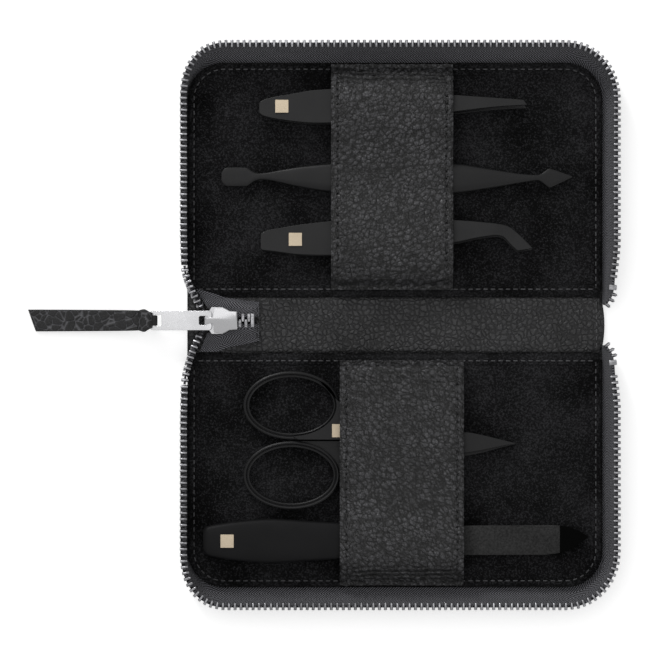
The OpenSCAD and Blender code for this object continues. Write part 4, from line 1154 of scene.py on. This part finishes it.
def ring(half):
    """Finger ring with a raised rim and a step round its opening."""
    x, y, a, b = RING

    def place(turn, k):
        out, z = RING_PROFILE[k]
        return (x + (a + out) * math.cos(turn), half * (y + (b + out) * math.sin(turn)), 0.55 + z)
    obj = grid(even(0, 2 * math.pi, 112), list(range(len(RING_PROFILE))), place)
    outward(obj)
    return obj


def shank(half, low, blade):
    """Flat of a scissor half, from its ring past the pivot to the blade's tip."""
    x, y, a, b = RING
    top, bottom = blade
    arc = [(x + (a + 1.0) * math.cos(t), y + (b + 1.0) * math.sin(t))
           for t in even(math.radians(48), -math.radians(88), 26)]
    upper = spline([arc[0], (-22.0, 14.6), (-16.5, 9.6), (-9, 5.6), (-0.5, 4.62)], 4)
    lower = [(-34.0, 0.25), (-9, 0.2), (-6.5, -0.6), (-4, -2.5), (-2, -4)]
    body = arc + lower
    edges = [(px, half * py) for px, py in body]
    over = [(px, half * py) for px, py in reversed(upper[1:])]
    far, near = (bottom, top) if half > 0 else (top, bottom)
    points = edges + spline(far, 4) + list(reversed(spline(near, 4))) + over
    return soften(slab(points, low, low + 2), 0.22, 2, 40)


def make_scissors():
    """Two halves that cross at the pivot, each a ring with its shank and blade."""
    at = Matrix.Translation(PIVOT)
    settle(moved(joined(shank(-1, 0, LOWER_BLADE), ring(-1)), at), "scissors_under", "scissors",
           "black_steel", "scissors_lower_half", angle=35)
    carry("scissors_screw", "scissors_pivot", "scissors", "black_steel", 0.2)
    settle(moved(joined(shank(1, 2.1, UPPER_BLADE), ring(1)), at), "scissors_over", "scissors_upper",
           "black_steel", "scissors_upper_half", angle=35)
    carry("scissors_inlay", "scissors_plate", "scissors_upper", "inlay", 0.08)


def make_file():
    """Moulded handle, gritted blade and lacquered point."""
    keys = [(0, 3, 0.5, 0.55), (0.012, 3, 0.63, 0.75), (0.03, 3, 0.7, 0.86), (0.08, 3, 0.8, 0.95),
            (0.17, 3, 0.92, 1), (0.28, 3, 1, 1), (0.38, 3, 0.96, 0.98), (0.46, 2.9, 0.9, 0.95),
            (0.6, 2.7, 0.82, 0.86), (0.8, 2.3, 0.72, 0.7), (1, 1.9, 0.68, 0.6)]
    grip = bar([(-63.9 + 76 * share, -71.9, SEAT_Z + level, 7.35 * half, 2.8 * high)
                for share, level, half, high in spline(keys, 6)], 48, 0.55)
    settle(grip, "file_grip", "file", "handle_plastic", "file_handle", angle=50)
    low, high = SEAT_Z + 1.4, SEAT_Z + 2.4
    edges = ((12.0, -66.9, -76.7), (50, -66.7, -76.6), (53.5, -66.7, -76.2), (54.9, -66.8, -75.9))
    blade = ribbon([((x, top), (x, bottom), low, high) for x, top, bottom in edges], 0.2)
    settle(blade, "file_face", "file", "file_grit", "file_blade")
    tip = spline([(54.95, -66.8), (57.5, -67.2), (60.0, -68.1), (62.6, -69.4), (64.4, -70.5)], 4)
    tip += spline([(64.4, -70.75), (61.9, -72.6), (59.0, -74.4), (57.0, -75.3), (54.95, -75.9)], 4)
    settle(soften(slab(tip, low, high), 0.14), "file_tip", "file", "point_gloss", "file_point")
    carry("file_inlay", "file_plate", "file", "inlay", 0.08)


# Stage

# Name, place, side and watts
LAMPS = (("overhead_softbox", (-0.25, 0.33, 1.15), 0.8, 1.6),
         ("key_softbox", (-0.45, 0.95, 0.5), 0.3, 5.0),
         ("fill_softbox", (0.6, -0.7, 0.6), 0.5, 0.8))


def lamp(name, place, size, power):
    data = bpy.data.lights.new(name, "AREA")
    data.shape = "SQUARE"
    data.size = size
    data.energy = power
    obj = bpy.data.objects.new(name, data)
    bpy.context.scene.collection.objects.link(obj)
    obj.location = place
    obj.rotation_euler = (-Vector(place)).to_track_quat("-Z", "Y").to_euler()
    obj.visible_camera = False


VIEW_MIDDLE = -0.02333      # the strap reaches out to one side


def make_stage():
    """Pale floor, soft lamps, and the camera straight above the open case."""
    scene = bpy.context.scene
    sizes, colours = scene.case_sizes, scene.case_colours
    take_none()
    bpy.ops.mesh.primitive_grid_add(x_subdivisions=8, y_subdivisions=8, size=6,
                                    location=(0, 0, -0.0002))
    floor = bpy.context.object
    floor.name = "floor"
    bpy.ops.object.transform_apply(location=True, rotation=True, scale=True)
    material, tree, shader = start("pale_matt_floor", Roughness=1.0, Specular_IOR_Level=0.0)
    shader.inputs["Base Color"].default_value = tuple(colours.floor) + (1.0,)
    seen = add(tree, "LightPath", out="Is Camera Ray")
    lift = add(tree, "Math", {0: seen, 1: 0.5}, operation="MULTIPLY")
    shader.inputs["Emission Color"].default_value = (1, 1, 1, 1)
    tree.links.new(lift, shader.inputs["Emission Strength"])
    floor.data.materials.append(material)
    world = bpy.data.worlds.new("studio")
    scene.world = world
    world.use_nodes = True
    tree = world.node_tree
    back = tree.nodes["Background"]
    back.inputs["Color"].default_value = (1, 1, 1, 1)
    seen = add(tree, "LightPath", out="Is Camera Ray")
    level = add(tree, "MapRange", {"Value": seen, 3: 0.55, 4: 1.0})
    tree.links.new(level, back.inputs["Strength"])
    for setting in LAMPS:
        lamp(*setting)
    data = bpy.data.cameras.new("camera")
    camera = bpy.data.objects.new("camera", data)
    scene.collection.objects.link(camera)
    data.sensor_width = 36
    data.lens = data.sensor_width * sizes.camera_height / sizes.view_width
    camera.location = (VIEW_MIDDLE, 0.0, sizes.camera_height + 0.005)
    camera.rotation_euler = (0, 0, 0)
    data.clip_end = 20
    scene.camera = camera
    scene.view_settings.view_transform = "Standard"


# Operators and panel

class CASE_OT_covers(bpy.types.Operator):
    """Make the leather cover of both halves and the spine"""
    bl_idname = "case.covers"
    bl_label = "Covers"

    def execute(self, context):
        make_covers()
        return {"FINISHED"}


class CASE_OT_linings(bpy.types.Operator):
    """Make the suede linings and their stitches"""
    bl_idname = "case.linings"
    bl_label = "Linings"

    def execute(self, context):
        make_linings()
        return {"FINISHED"}


class CASE_OT_zips(bpy.types.Operator):
    """Make the zip tapes, teeth and stops"""
    bl_idname = "case.zips"
    bl_label = "Zip"

    def execute(self, context):
        make_zips()
        return {"FINISHED"}


class CASE_OT_spine(bpy.types.Operator):
    """Make the spine's facing and the sewn tape ends"""
    bl_idname = "case.spine"
    bl_label = "Spine"

    def execute(self, context):
        make_spine()
        return {"FINISHED"}


class CASE_OT_bands(bpy.types.Operator):
    """Make the two leather bands and their stitches"""
    bl_idname = "case.bands"
    bl_label = "Bands"

    def execute(self, context):
        make_bands()
        return {"FINISHED"}


class CASE_OT_slider(bpy.types.Operator):
    """Make the slider, its pull tab and the leather strap"""
    bl_idname = "case.slider"
    bl_label = "Slider and pull"

    def execute(self, context):
        make_slider()
        return {"FINISHED"}


class CASE_OT_tweezers(bpy.types.Operator):
    """Make the two pairs of tweezers"""
    bl_idname = "case.tweezers"
    bl_label = "Tweezers"

    def execute(self, context):
        make_tweezers()
        return {"FINISHED"}


class CASE_OT_pusher(bpy.types.Operator):
    """Make the cuticle pusher"""
    bl_idname = "case.pusher"
    bl_label = "Cuticle pusher"

    def execute(self, context):
        make_pusher()
        return {"FINISHED"}


class CASE_OT_scissors(bpy.types.Operator):
    """Make the nail scissors"""
    bl_idname = "case.scissors"
    bl_label = "Scissors"

    def execute(self, context):
        make_scissors()
        return {"FINISHED"}


class CASE_OT_file(bpy.types.Operator):
    """Make the nail file"""
    bl_idname = "case.file"
    bl_label = "File"

    def execute(self, context):
        make_file()
        return {"FINISHED"}


class CASE_OT_stage(bpy.types.Operator):
    """Make the floor, the lamps and the camera"""
    bl_idname = "case.stage"
    bl_label = "Stage"

    def execute(self, context):
        make_stage()
        return {"FINISHED"}


OPERATORS = (CASE_OT_stage, CASE_OT_covers, CASE_OT_linings, CASE_OT_zips, CASE_OT_spine, CASE_OT_bands,
             CASE_OT_slider, CASE_OT_tweezers, CASE_OT_pusher, CASE_OT_scissors, CASE_OT_file)


class CASE_PT_panel(bpy.types.Panel):
    """Lists the case's pieces"""
    bl_idname = "CASE_PT_panel"
    bl_label = "Manicure case"
    bl_space_type = "VIEW_3D"
    bl_region_type = "UI"
    bl_category = "Case"

    def draw(self, context):
        for operator in OPERATORS:
            self.layout.operator(operator.bl_idname)


CLASSES = (CaseColours, CaseSizes, *OPERATORS, CASE_PT_panel)


def register():
    for item in CLASSES:
        bpy.utils.register_class(item)
    bpy.types.Scene.case_colours = PointerProperty(type=CaseColours)
    bpy.types.Scene.case_sizes = PointerProperty(type=CaseSizes)


def unregister():
    del bpy.types.Scene.case_sizes
    del bpy.types.Scene.case_colours
    for item in reversed(CLASSES):
        bpy.utils.unregister_class(item)


def main():
    register()
    for operator in OPERATORS:
        group, name = operator.bl_idname.split(".")
        getattr(getattr(bpy.ops, group), name)()


if __name__ == "__main__":
    main()
